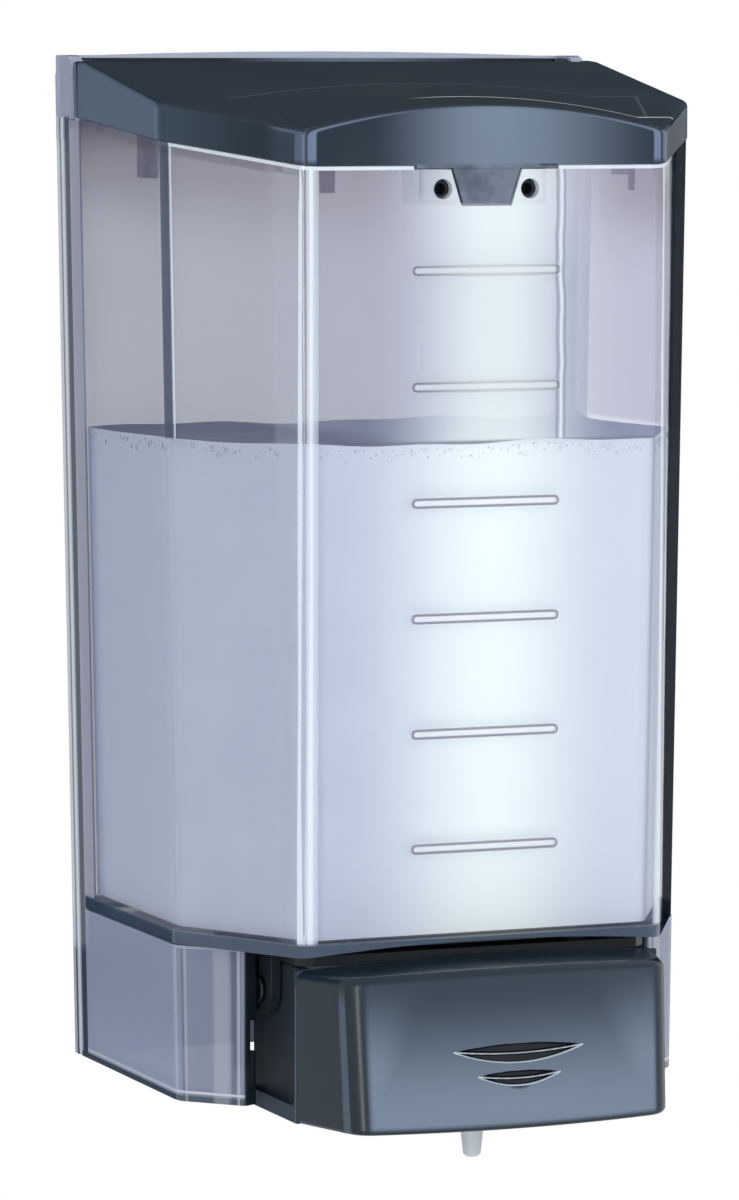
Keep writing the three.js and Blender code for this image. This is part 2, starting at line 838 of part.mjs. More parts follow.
function reservoir() {
  const outer = housingLoft(tankBase, creaseHeight, tankBack, 0).intersect(belowEdge(0, tankBase - overrun));
  const room = housingLoft(tankFloor, creaseHeight + overrun, tankBack, tankWall);
  const under = housingLoft(tankBase - overrun, tankFloorLow, tankBack, tankWall);
  const bars = [];
  for (let index = 0; index < barCount; index += 1) {
    bars.push(levelBar(barLowest + ((barHighest - barLowest) * index) / (barCount - 1)));
  }
  const spout = postAlongZ(spoutRadius, 0, spoutDepth, spoutEnd, tankFloor);
  const bosses = [];
  const bossHoles = [];
  for (const depth of bossDepths) {
    for (const side of [-1, 1]) {
      const x = bossHalf * side;
      bosses.push(postAlongZ(bossRadius, x, depth, bossEnd, tankFloor, smallSides));
      bossHoles.push(postAlongZ(bossBore, x, depth, bossEnd - overrun, bossBoreTop, smallSides));
    }
  }
  const walls = cut(outer, room, under);
  const shell = join(walls, tankRim(), rearShelf(), lockPocket(), spout, ...bosses, ...bars);
  const bore = postAlongZ(spoutBore, 0, spoutDepth, spoutEnd - overrun, tankFloor + overrun);
  const face = frontDepthAt(tabFoot);
  const notch = frontPrism(latchOutline(latchGap), tabBackDepth - gap, farDepth);
  const lipRoom = block(
    -lipHalf - latchGap, lipHalf + latchGap,
    face - tankWall - gap, farDepth, edgeFront - lipDrop - gap, creaseHeight,
  );
  const keyHoles = [-1, 1].map((side) => barAlongY(
    keyHoleRadius, keyHoleHalf * side, keyHoleHeight, face - tankWall - gap, farDepth, smallSides,
  ));
  const lugRoom = block(-acrossHalf, acrossHalf, 0, lidBack, flangeTop - gap, creaseHeight);
  return cut(shell, bore, ...bossHoles, tankArch(), notch, lipRoom, lugRoom, ...keyHoles);
}

function liquidSoap() {
  return housingLoft(tankFloor + gap, soapLevel, tankBack, tankWall + gap);
}

// Lid
function archHeight(x) {
  const share = Math.min(Math.abs(x) / frontCornerHalf, 1);
  return archCentre - archRise * share * share;
}

function lidTopAt(x, depth) {
  const slope = (creaseHeight - archHeight(x)) / (frontDepthAt(edgeFront) - creaseDepth);
  return creaseHeight - slope * (depth - creaseDepth);
}

// Everything below the lid's sloping top, lowered by an amount
function belowLidTop(lower) {
  const stations = [-acrossHalf];
  for (let step = 0; step <= archSteps; step += 1) {
    stations.push(-frontCornerHalf + (2 * frontCornerHalf * step) / archSteps);
  }
  stations.push(acrossHalf);
  const sections = stations.map((x) => ({
    at: x,
    outline: flat([
      [0, tabFoot],
      [0, lidRearHeight - lower],
      [-lidBack, lidRearHeight - lower],
      [-creaseDepth, creaseHeight - lower],
      [-farDepth, lidTopAt(x, farDepth) - lower],
      [-farDepth, tabFoot],
    ]),
  }));
  return loft(sections, sideways);
}

function lidShell() {
  const outer = housingLoft(tabFoot, plateTop, lidBack, -lidProud).intersect(belowLidTop(0));
  const inner = housingLoft(tabFoot - overrun, plateTop, lidBack + lidProud, lidWall).intersect(
    belowLidTop(lidTopWall),
  );
  return cut(outer, inner, belowEdge(gap, 0));
}

function lidTab() {
  const plate = frontPrism(latchOutline(0), tabBackDepth, tabBackDepth + tabThick);
  const pocket = block(
    -tabPocketHalf, tabPocketHalf,
    tabBackDepth - overrun, tabBackDepth + tabPocketDepth,
    tabPocketLow, tabPocketLow + tabPocketHeight,
  );
  return cut(plate, pocket);
}

function lidLip() {
  const face = frontDepthAt(edgeFront) + lidProud;
  return block(-lipHalf, lipHalf, face - lidWall + gap, face, edgeFront - lipDrop, edgeFront + overrun);
}

// The guide on the left is the wider one
function frontGuide(side, width) {
  const outer = guideOuterHalf * side;
  const inner = outer - width * side;
  const left = Math.min(outer, inner);
  const right = Math.max(outer, inner);
  const top = lidTopAt((left + right) / 2, guideDepth + guideThick) - lidTopWall / 2;
  const outline = flat([
    [left, top],
    [left + guideTaper, guideFoot],
    [right - guideTaper, guideFoot],
    [right, top],
  ]);
  return frontPrism(outline, guideDepth, guideDepth + guideThick);
}

function sideGuide(side) {
  const outer = (halfWidthAt(sideGuideFoot) - sideGuideInset) * side;
  const inner = outer - sideGuideThick * side;
  const back = sideGuideFront - sideGuideWidth;
  const outline = flat([
    [-back, sideGuideFoot + guideTaper],
    [-sideGuideFront, sideGuideFoot],
    [-sideGuideFront, lidTopAt(outer, sideGuideFront) - lidTopWall / 2],
    [-back, lidTopAt(outer, back) - lidTopWall / 2],
  ]);
  return profilePrism(outline, Math.min(outer, inner), Math.max(outer, inner));
}

function hingeEar(side) {
  const outer = (halfWidthAt(flangeTop) - lugWall - gap) * side;
  const inner = outer - earWall * side;
  const left = Math.min(outer, inner);
  const right = Math.max(outer, inner);
  const round = barAlongX(earRadius, hingeDepth, hingeHeight, left, right);
  const arm = block(
    left, right, hingeDepth, lidBack + lidWall / 2, hingeHeight - earRadius, hingeHeight + earRadius,
  );
  return join(round, arm.intersect(belowLidTop(0)));
}

// A curved web between the ears closes the lid's top towards the back plate, at any angle
function hingeWeb() {
  const half = halfWidthAt(flangeTop) - lugWall - gap - earWall / 2;
  const drum = cut(
    barAlongX(earRadius, hingeDepth, hingeHeight, -half, half),
    barAlongX(earRadius - webThick, hingeDepth, hingeHeight, -half - overrun, half + overrun),
  );
  const lower = block(-acrossHalf, acrossHalf, 0, lidBack, hingeHeight - 2 * earRadius, hingeHeight);
  const front = block(-acrossHalf, acrossHalf, hingeDepth, lidBack, hingeHeight, creaseHeight + overrun);
  const roof = block(
    -half, half, hingeDepth - gap, lidBack + lidWall / 2,
    hingeHeight + earRadius - webThick, hingeHeight + earRadius,
  );
  return join(cut(drum, lower, front), roof.intersect(belowLidTop(0)));
}

function lid() {
  const body = join(
    lidShell(), lidTab(), lidLip(), frontGuide(-1, wideGuide), frontGuide(1, narrowGuide),
    sideGuide(-1), sideGuide(1), hingeEar(-1), hingeEar(1), hingeWeb(),
  );
  const hole = barAlongX(stubRadius + gap, hingeDepth, hingeHeight, -acrossHalf, acrossHalf);
  return cut(body, hole);
}

// Lock
function lockBar() {
  const front = lockPlateFront;
  const plate = block(-lockHalf, lockHalf, front - lockPlateThick, front, lockLow, lockHigh);
  const nose = block(-noseHalf, noseHalf, front - overrun / 2, noseFront, noseLow, noseLow + noseHeight);
  const cups = [];
  const bores = [];
  for (const side of [-1, 1]) {
    const x = keyHoleHalf * side;
    cups.push(barAlongY(cupRadius, x, keyHoleHeight, front - overrun / 2, cupFront, smallSides));
    bores.push(barAlongY(cupBore, x, keyHoleHeight, front + cupFloorRise, cupFront + overrun, smallSides));
  }
  return cut(join(plate, nose, ...cups), ...bores);
}

function lockSpring() {
  const back = pocketBack + gap;
  const front = lockPlateFront - lockPlateThick - gap;
  const spring = springGeometry(
    lockSpringRadius, lockSpringWire, lockSpringTurns, front - back, "lock_spring",
  );
  return solidOf(moved(spring.rotateX(Math.PI / 2), 0, -back, (lockLow + lockHigh) / 2));
}

// Chassis
function chassisPost(side) {
  const inner = postInner * side;
  const outer = (postInner + postWall) * side;
  const high = chassisTop - chassisThick / 2;
  const foot = pivotHeight - postDrop;
  const outline = rounded([
    [-pivotDepth + postReach, high],
    [-pivotDepth + postReach, foot, postReach - gap],
    [-pivotDepth - postReach, foot, postReach - gap],
    [-pivotDepth - postReach, high],
  ]);
  return profilePrism(outline, Math.min(inner, outer), Math.max(inner, outer));
}

function pumpChassis() {
  const plateOutline = flat([
    [-chassisHalf, -chassisBack],
    [-chassisHalf, -chassisShoulderDepth],
    [-chassisNoseHalf, -chassisFront],
    [chassisNoseHalf, -chassisFront],
    [chassisHalf, -chassisShoulderDepth],
    [chassisHalf, -chassisBack],
  ]);
  const plate = planPrism(plateOutline, chassisTop - chassisThick, chassisTop);
  const postEdge = block(
    -postInner - postWall, postInner + postWall,
    pivotDepth - postReach, pivotDepth + postReach, chassisTop - chassisThick, chassisTop,
  );
  const rails = [-1, 1].map((side) => {
    const inner = guideRailHalf * side;
    const outer = (guideRailHalf + guideRailWall) * side;
    return block(
      Math.min(inner, outer), Math.max(inner, outer),
      cylinderBack + guideRailBackGap, cylinderFront - guideRailFrontGap,
      pumpHeight + guideRailRise, chassisTop - chassisThick / 2,
    );
  });
  const low = chassisTop - chassisThick - overrun;
  const high = chassisTop + overrun;
  const holes = [postAlongZ(spoutRadius + gap, 0, spoutDepth, low, high)];
  for (const depth of bossDepths) {
    for (const side of [-1, 1]) {
      holes.push(postAlongZ(bossRadius + gap, bossHalf * side, depth, low, high, smallSides));
    }
  }
  const pinHole = barAlongX(
    pinRadius + slidingGap, pivotDepth, pivotHeight, -acrossHalf, acrossHalf, smallSides,
  );
  return cut(join(plate, postEdge, chassisPost(-1), chassisPost(1), ...rails), ...holes, pinHole);
}

function chassisScrew(side, depth) {
  const seat = chassisTop - chassisThick - gap;
  return turned([
    [0, seat - screwHeadHeight],
    [screwHeadRadius, seat - screwHeadHeight],
    [screwHeadRadius, seat],
    [screwRadius, seat],
    [screwRadius, bossBoreTop - gap],
    [0, bossBoreTop - gap],
  ], bossHalf * side, depth, smallSides);
}

// Lever
const coverShare = (height) => (height - coverBase) / (coverTop - coverBase);
const coverFaceDepth = (height) => coverBowDepth - coverLean * coverShare(height);

function coverPlan(height, drawnIn, back) {
  const cornerHalf = coverCornerHalf + coverCornerGain * coverShare(height);
  const cornerDepth = coverCornerDepth - coverLean * coverShare(height);
  const bowDepth = coverFaceDepth(height);
  const bow = [];
  for (let step = 1; step < archSteps; step += 1) {
    const across = (2 * step) / archSteps - 1;
    bow.push([cornerHalf * across, -cornerDepth - (bowDepth - cornerDepth) * (1 - across * across)]);
  }
  const corners = [
    [-cheekHalf, -back],
    [-cheekHalf, -cheekBend, coverBendRadius],
    [-cornerHalf, -cornerDepth, coverCornerRadius],
    ...bow,
    [cornerHalf, -cornerDepth, coverCornerRadius],
    [cheekHalf, -cheekBend, coverBendRadius],
    [cheekHalf, -back],
  ];
  return rounded(inset(corners, drawnIn));
}

function coverLoft(low, high, drawnIn, back) {
  return loft([
    { at: low, outline: coverPlan(low, drawnIn, back) },
    { at: high, outline: coverPlan(high, drawnIn, back) },
  ], upwards);
}

// The region under the cover's arched top edge, lowered by an amount
function belowCoverTop(lower) {
  const points = [];
  for (let step = 0; step <= archSteps; step += 1) {
    const share = 1 - (2 * step) / archSteps;
    const height = coverTop + coverArchRise * (1 - share * share) - lower;
    points.push([(cheekHalf + overrun) * share, height]);
  }
  const low = coverBase - overrun * 2;
  points.push([-cheekHalf - overrun, low], [cheekHalf + overrun, low]);
  return frontPrism(flat(points), 0, farDepth);
}

// A crescent between an upper and a lower curve, split by a thin ridge
function gripCut(height, half, rise, drop) {
  const curve = (bulge, span) => {
    const points = [];
    for (let step = 0; step <= archSteps; step += 1) {
      const share = 1 - (2 * step) / archSteps;
      points.push([span * share, height + bulge * (1 - share * share)]);
    }
    return points;
  };
  const middle = (rise - drop) / 2;
  const span = half - gripRidge;
  const upper = [...curve(rise, half), ...curve(middle + gripRidge / 2, span).reverse()];
  const lower = [...curve(middle - gripRidge / 2, span), ...curve(-drop, half - gripRidge / 2).reverse()];
  const floor = coverFaceDepth(height) - gripDepth;
  return [upper, lower].map((outline) => frontPrism(flat(outline), floor, farDepth));
}

function cheekRecessCut(side) {
  const outer = (cheekHalf + overrun) * side;
  const inner = (cheekHalf - cheekRecess) * side;
  const outline = rounded([
    [-cheekTailBack + overrun, recessLow],
    [-recessFront, recessLow, recessRadius],
    [-recessFront, coverArchTop + overrun],
    [-cheekTailBack + overrun, coverArchTop + overrun],
  ]);
  return profilePrism(outline, Math.min(outer, inner), Math.max(outer, inner));
}

// The rear top corners are rounded, and the tails behind them are low, so that they pass under
// the chassis as the lever turns
function cheekCorners() {
  const centre = coverTop - cheekRadius;
  const high = coverArchTop + overrun;
  const corner = block(-acrossHalf, acrossHalf, cheekBack - overrun, pivotDepth, centre, high);
  const far = acrossHalf + overrun;
  const overTail = block(-acrossHalf, acrossHalf, cheekTailBack - overrun, cheekBack, cheekTailTop, high);
  return join(cut(corner, barAlongX(cheekRadius, pivotDepth, centre, -far, far)), overTail);
}

function pushPad() {
  const height = pumpHeight + padRise;
  const wallDepth = coverFaceDepth(height) - coverWall / 2;
  const tip = headFront + gap + padRadius;
  const arm = block(-padHalf, padHalf, tip, wallDepth, height - padRadius, height + padRadius);
  return join(arm, barAlongX(padRadius, tip, height, -padHalf, padHalf, smallSides));
}

function pushCover() {
  const outer = coverLoft(coverBase, coverArchTop, 0, cheekTailBack).intersect(belowCoverTop(0));
  const ahead = block(
    -acrossHalf, acrossHalf, cheekBend - coverWall, farDepth,
    coverBase - overrun * 2, coverArchTop + overrun,
  );
  const front = coverLoft(coverBase - overrun, coverArchTop, coverWall, cheekBack).intersect(ahead);
  const between = cheekHalf - cheekWall;
  const behind = block(
    -between, between, cheekTailBack - overrun, cheekBend, coverBase - overrun, coverArchTop,
  );
  const hollow = join(front, behind).intersect(belowCoverTop(coverRoof));
  const above = block(
    -between, between, cheekBack - overrun, coverRoofBack, coverBase, coverArchTop + overrun,
  );
  const grips = [
    ...gripCut(upperGripHeight, upperGripHalf, upperGripRise, upperGripDrop),
    ...gripCut(lowerGripHeight, lowerGripHalf, lowerGripRise, lowerGripDrop),
  ];
  const pinHole = barAlongX(pinRadius + gap, pivotDepth, pivotHeight, -acrossHalf, acrossHalf, smallSides);
  const shell = cut(outer, hollow, above, cheekCorners(), cheekRecessCut(-1), cheekRecessCut(1), ...grips);
  return cut(join(shell, pushPad()), pinHole);
}

function leverPin(side) {
  const head = (postInner + postWall + gap) * side;
  const headEnd = head + pinHeadThick * side;
  const tip = (cheekHalf - cheekWall - pinReach) * side;
  const shank = barAlongX(
    pinRadius, pivotDepth, pivotHeight, Math.min(tip, head), Math.max(tip, head), smallSides,
  );
  const cap = barAlongX(
    pinHeadRadius, pivotDepth, pivotHeight, Math.min(head, headEnd), Math.max(head, headEnd), smallSides,
  );
  return join(shank, cap);
}

// Pump
const chamberTop = pumpHeight + cylinderBore;
const neckFloor = chamberTop + neckShoulder;
const wellFloor = neckTop - seatWell;

function pumpBody() {
  const cylinder = barAlongY(cylinderRadius, 0, pumpHeight, cylinderBack, cylinderFront);
  const neck = postAlongZ(neckRadius, 0, spoutDepth, pumpHeight, neckTop);
  const flange = postAlongZ(neckFlangeRadius, 0, spoutDepth, neckTop - neckFlangeThick, neckTop);
  const bore = barAlongY(
    cylinderBore, 0, pumpHeight, cylinderBack + cylinderEndWall, cylinderFront + overrun,
  );
  const port = postAlongZ(neckPort, 0, spoutDepth, pumpHeight, neckTop, smallSides);
  const valveRoom = postAlongZ(neckBore, 0, spoutDepth, neckFloor, neckTop + overrun);
  const well = postAlongZ(seatRadius, 0, spoutDepth, wellFloor, neckTop + overrun);
  return cut(join(cylinder, neck, flange), bore, port, valveRoom, well);
}

function couplingNut() {
  const around = neckRadius + gap;
  const flangeRoom = neckFlangeRadius + gap;
  return turned([
    [around, nutLow],
    [nutRadius, nutLow],
    [nutRadius, nutHigh],
    [around, nutHigh],
    [around, neckTop + gap],
    [flangeRoom, neckTop + gap],
    [flangeRoom, nutLow + nutLip],
    [around, nutLow + nutLip],
  ], 0, spoutDepth);
}

function ring(inner, outer, low, high, depth, sides = roundSides) {
  return turned([[inner, low], [outer, low], [outer, high], [inner, high]], 0, depth, sides);
}

function inletGasket() {
  return ring(seatRadius, gasketRadius, neckTop + gap, spoutEnd - gap, spoutDepth);
}

function inletSeat() {
  return ring(seatPort, seatRadius - gap, wellFloor + gap, neckTop, spoutDepth);
}

// A ball lies under its seat's edge, at the named gap from it
const underSeat = (radius, port) => Math.sqrt(radius * radius - port * port) + gap;
const inletBallHeight = wellFloor + gap - underSeat(inletBallRadius, seatPort);
const outletBallHeight = outletSeat - underSeat(outletBallRadius, outletPort);

function inletSpring() {
  const low = neckFloor + gap;
  const high = inletBallHeight - inletBallRadius - gap;
  const spring = springGeometry(inletSpringRadius, inletWire, inletTurns, high - low, "inlet_spring");
  return solidOf(moved(spring, 0, -spoutDepth, low));
}

function pumpGland() {
  const profile = [
    [cylinderRadius + gap, cylinderFront - glandSkirt],
    [glandRadius, cylinderFront - glandSkirt],
    [glandRadius, cylinderFront + gap + glandWall],
    [rodRadius + gap, cylinderFront + gap + glandWall],
    [rodRadius + gap, cylinderFront + gap],
    [cylinderRadius + gap, cylinderFront + gap],
  ];
  return alongCylinder(profile);
}

// A turned piece on the cylinder's axis from [radius, depth] points
function alongCylinder(profile, sides = roundSides) {
  const lathe = new THREE.LatheGeometry(flat([...profile, profile[0]]), sides);
  lathe.rotateX(Math.PI);
  return solidOf(moved(lathe, 0, 0, pumpHeight));
}

function glandSeal() {
  const front = cylinderFront;
  const back = cylinderFront - glandSealThick;
  return alongCylinder([
    [rodRadius + gap, back],
    [cylinderBore - gap, back],
    [cylinderBore - gap, front],
    [rodRadius + gap, front],
  ]);
}

const pistonFront = pistonBack + pistonLength;

function plunger() {
  const grooveBack = pistonBack + sealGrooveInset;
  const grooveFront = pistonFront - sealGrooveInset;
  return alongCylinder([
    [rodBore, pistonBack],
    [pistonRadius, pistonBack],
    [pistonRadius, grooveBack],
    [sealGroove, grooveBack],
    [sealGroove, grooveFront],
    [pistonRadius, grooveFront],
    [pistonRadius, pistonFront],
    [rodRadius, pistonFront],
    [rodRadius, rodFront],
    [rodBore, rodFront],
  ]);
}

function plungerSeal() {
  const back = pistonBack + sealGrooveInset + gap;
  const front = pistonFront - sealGrooveInset - gap;
  const inner = sealGroove + gap;
  return alongCylinder([[inner, back], [sealOuter, back], [sealOuter, front], [inner, front]]);
}

function returnSpring() {
  const back = cylinderBack + cylinderEndWall + gap;
  const front = pistonBack - gap;
  const spring = springGeometry(returnSpringRadius, returnWire, returnTurns, front - back, "return_spring");
  return solidOf(moved(spring.rotateX(Math.PI / 2), 0, -back, pumpHeight));
}

// Outlet
function outletElbow() {
  const body = block(-elbowHalf, elbowHalf, elbowBack, elbowFront, elbowBase, elbowTop);
  const stem = barAlongY(stemRadius, 0, pumpHeight, elbowFront - overrun, headFront);
  const head = barAlongY(headRadius, 0, pumpHeight, headFront - headThick, headFront);
  const socket = barAlongY(rodRadius + gap, 0, pumpHeight, elbowBack - overrun, elbowBack + socketDepth);
  const across = barAlongY(rodBore, 0, pumpHeight, elbowBack, nozzleDepth, smallSides);
  const down = postAlongZ(outletPort, 0, nozzleDepth, outletSeat - overrun, pumpHeight, smallSides);
  const room = postAlongZ(outletBore, 0, nozzleDepth, elbowBase - overrun, outletSeat, smallSides);
  const well = postAlongZ(spigotRadius + gap, 0, nozzleDepth, elbowBase - overrun, elbowBase + spigotRise);
  return cut(join(body, stem, head), socket, across, down, room, well);
}

function nozzle() {
  const flangeTop = elbowBase - gap;
  return turned([
    [nozzleBore, nozzleTip],
    [nozzleTipRadius - nozzleRound, nozzleTip],
    [nozzleTipRadius, nozzleTip + nozzleRound],
    [nozzleRadius, nozzleStraight],
    [nozzleRadius, flangeTop - nozzleFlangeThick],
    [nozzleFlange, flangeTop - nozzleFlangeThick],
    [nozzleFlange, flangeTop],
    [spigotRadius, flangeTop],
    [spigotRadius, elbowBase + spigotRise - gap],
    [outletBore, elbowBase + spigotRise - gap],
    [outletBore, nozzleShelf],
    [nozzleBore, nozzleShelf],
  ], 0, nozzleDepth);
}

function outletSpring() {
  const low = nozzleShelf + gap;
  const high = outletBallHeight - outletBallRadius - gap;
  const spring = springGeometry(outletSpringRadius, outletWire, outletTurns, high - low, "outlet_spring");
  return solidOf(moved(spring, 0, -nozzleDepth, low));
}

// Materials, one for each sub-part
const smoke = { color: 0xa9b2c4, roughness: 0.12, metalness: 0, transparent: true, opacity: 0.45 };
const charcoal = { color: 0x2c3a4c, roughness: 0.22, metalness: 0 };
const black = { color: 0x15181e, roughness: 0.45, metalness: 0 };
const soapWhite = { color: 0xe3e6f3, roughness: 0.35, metalness: 0 };
const milky = { color: 0xe4e9ec, roughness: 0.4, metalness: 0 };
const natural = { color: 0xdcdcd6, roughness: 0.5, metalness: 0 };
const rubber = { color: 0x222222, roughness: 0.8, metalness: 0 };
const steel = { color: 0xb8bcc2, roughness: 0.3, metalness: 1 };

const dispenser = new THREE.Group();

function add(name, solid, finish) {
  const mesh = new THREE.Mesh(geometryOf(solid), new THREE.MeshStandardMaterial(finish));
  mesh.name = name;
  dispenser.add(mesh);
}

add("wall_bracket", wallBracket(), smoke);
add("reservoir", reservoir(), smoke);
add("liquid_soap", liquidSoap(), soapWhite);
add("lid", lid(), charcoal);
add("lock_bar", lockBar(), black);
add("lock_spring", lockSpring(), steel);
add("pump_chassis", pumpChassis(), black);
bossDepths.forEach((depth, row) => {
  [-1, 1].forEach((side, column) => {
    add(`chassis_screw_${row * 2 + column + 1}`, chassisScrew(side, depth), steel);
  });
});
add("push_cover", pushCover(), charcoal);
add("lever_pin_left", leverPin(-1), steel);
add("lever_pin_right", leverPin(1), steel);
add("pump_body", pumpBody(), natural);
add("coupling_nut", couplingNut(), natural);
add("inlet_gasket", inletGasket(), rubber);
add("inlet_seat", inletSeat(), natural);
add("inlet_ball", ball(inletBallRadius, 0, spoutDepth, inletBallHeight), steel);
add("inlet_spring", inletSpring(), steel);
add("pump_gland", pumpGland(), natural);
add("gland_seal", glandSeal(), rubber);
add("plunger", plunger(), natural);
add("plunger_seal", plungerSeal(), rubber);
add("return_spring", returnSpring(), steel);
add("outlet_elbow", outletElbow(), natural);
add("outlet_ball", ball(outletBallRadius, 0, nozzleDepth, outletBallHeight), steel);
add("outlet_spring", outletSpring(), steel);
add("nozzle", nozzle(), milky);

dispenser.position.z = -originHeight;

export default dispenser;
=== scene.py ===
"""Looks of a wall soap dispenser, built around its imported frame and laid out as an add-on."""

import json
import math
import random

import bmesh
import bpy
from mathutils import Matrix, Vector

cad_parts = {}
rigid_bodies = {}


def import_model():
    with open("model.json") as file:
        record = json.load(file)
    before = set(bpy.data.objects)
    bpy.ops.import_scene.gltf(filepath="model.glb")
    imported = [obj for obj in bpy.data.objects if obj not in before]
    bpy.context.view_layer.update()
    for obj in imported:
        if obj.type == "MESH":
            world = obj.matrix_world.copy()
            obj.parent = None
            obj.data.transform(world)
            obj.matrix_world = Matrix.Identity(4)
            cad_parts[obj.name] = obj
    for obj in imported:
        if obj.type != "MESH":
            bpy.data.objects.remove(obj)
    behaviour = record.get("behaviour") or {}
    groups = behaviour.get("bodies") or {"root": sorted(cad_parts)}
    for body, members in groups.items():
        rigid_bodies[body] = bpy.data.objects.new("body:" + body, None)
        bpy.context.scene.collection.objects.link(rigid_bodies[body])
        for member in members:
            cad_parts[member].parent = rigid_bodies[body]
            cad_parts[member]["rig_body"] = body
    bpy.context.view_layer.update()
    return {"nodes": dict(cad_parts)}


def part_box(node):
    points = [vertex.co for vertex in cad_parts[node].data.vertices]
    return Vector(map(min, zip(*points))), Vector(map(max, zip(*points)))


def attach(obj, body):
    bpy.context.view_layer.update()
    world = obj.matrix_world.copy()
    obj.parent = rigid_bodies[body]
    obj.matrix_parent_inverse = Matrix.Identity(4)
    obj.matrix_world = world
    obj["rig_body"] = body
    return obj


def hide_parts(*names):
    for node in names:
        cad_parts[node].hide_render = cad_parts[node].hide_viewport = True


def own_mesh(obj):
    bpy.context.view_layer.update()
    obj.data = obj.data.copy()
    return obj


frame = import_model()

bl_info = {
    "name": "Wall soap dispenser",
    "version": (1, 0, 0),
    "blender": (4, 5, 0),
    "location": "3D View > Sidebar > Dispenser",
    "description": "Dresses the frame of a wall soap dispenser with a lever pump",
    "category": "Object",
}

# Places in the frame, in metres, with the wall at y = 0 and the front towards -y
soap_low, soap_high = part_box("liquid_soap")
cover_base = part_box("push_cover")[0].z
nozzle_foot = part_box("nozzle")[0].z

# The tank's plan, which the liquid and the bars follow
skirt_foot = -0.125
bend_depth = 0.0737
corner_half = 0.0462
front_depth = 0.109
front_gain = 0.0012
side_half = 0.0655
side_gain = 0.0042
gain_height = 0.25
wall_thick = 0.0022
wall_gap = 0.0003
bar_count = 6
bar_first = skirt_foot + 0.0629
bar_last = skirt_foot + 0.2004
bar_pitch = (bar_last - bar_first) / (bar_count - 1)
bar_half = 0.019
bar_straight = bar_half - 0.0012
bar_radius = 0.0015
bar_flatness = 0.45
bar_lift = 0.0002
liquid_level = soap_high.z
# Middle of the painted glow on the fronts of the tank and the soap
glow_middle = 0.003
middle_depth = 0.06
soap_inset = wall_thick + wall_gap
soap_corner_half = corner_half - soap_inset * 0.6
tank_foot = skirt_foot + 0.0382
tank_floor = skirt_foot + 0.0417
tank_back = 0.010
edge_front = skirt_foot + 0.2251
edge_bend = skirt_foot + 0.2308
edge_back = skirt_foot + 0.2363
flange_depth = 0.0097
skirt_bend = 0.075
nose_half = 0.0531
nose_depth = 0.0877

# The lid, whose top slopes from a crease at the back down to the arched front edge
lid_back = 0.0146
crease_depth = 0.019
crease_height = skirt_foot + 0.25
lid_rear_height = skirt_foot + 0.2494
arch_centre = skirt_foot + 0.2395
arch_rise = 0.0061
lid_proud = 0.0003
lid_wall = 0.0022
lid_round = 0.0013
latch_tab_half = 0.0185

# The push cover's front, whose corners lean back a little towards its top
cover_top = skirt_foot + 0.0348
cover_arch = 0.0017
cheek_half = 0.047
cheek_bend = 0.106
face_corner_half = 0.0403
face_corner_gain = 0.0005
face_corner_depth = 0.1274
face_bow = 0.005
face_lean = 0.003
face_wall = 0.0022
face_soft = 0.0042
face_pitch = 0.00025
roof_back = 0.1055

# Each crescent grip: height of its tips over the skirts' foot, half length, rise and drop of its middle
grips = ((0.0173, 0.0168, 0.0013, 0.0034), (0.0112, 0.0107, 0.0009, 0.0027))

# The shallow dish for the thumb, and the heights between which the front's rows lie close together
dish_half = 0.018
dish_middle = 0.0105
dish_tall = 0.0088
close_rows = (0.0082, 0.0189)

# The front's columns are picked from its close plan: every sixth, and every second between the margins
coarse_step = 6
fine_step = 2
fine_margin = 130

# The camera and the things around the dispenser: each card's place, width and height
camera_place = (-0.542, -1.368, 0.1221)
camera_angles = (math.radians(84.78), 0.0, math.radians(-22.15))
light_target = (0.0, -0.05, 0.0)
dark_cards = {
    "dark_card_above": ((0.0, 1.2, 0.85), 4.0, 1.2),
    "dark_card_right": ((0.85, 1.2, -0.2), 0.9, 0.9),
    "dark_card_left": ((-0.62, 1.2, -0.1), 0.7, 1.6),
}

smooth_angle = math.radians(35)
merge_distance = 1e-6
flat_angle = math.radians(0.5)
bevel_angle = math.radians(32)


def wall_front(height):
    """Depth of the tank's front face at a height."""
    return front_depth + front_gain * (height - skirt_foot) / gain_height


def wall_side(height):
    """Half width of the tank at a height."""
    return side_half + side_gain * (height - skirt_foot) / gain_height


def rim_heights(depth):
    """Heights of the tank's upper edge at a depth, by its front slope and by its back slope."""
    front_slope = (edge_bend - edge_front) / (front_depth - bend_depth)
    back_slope = (edge_back - edge_bend) / (bend_depth - tank_back)
    return edge_front + (front_depth - depth) * front_slope, edge_bend + (bend_depth - depth) * back_slope


def maths_method(operation, swapped=False):
    """A method of Value that adds one Math node for a Value and another number, or swapped."""

    def method(value, other):
        terms = (other, value) if swapped else (value, other)
        return value.finish.maths(operation, *terms)

    return method


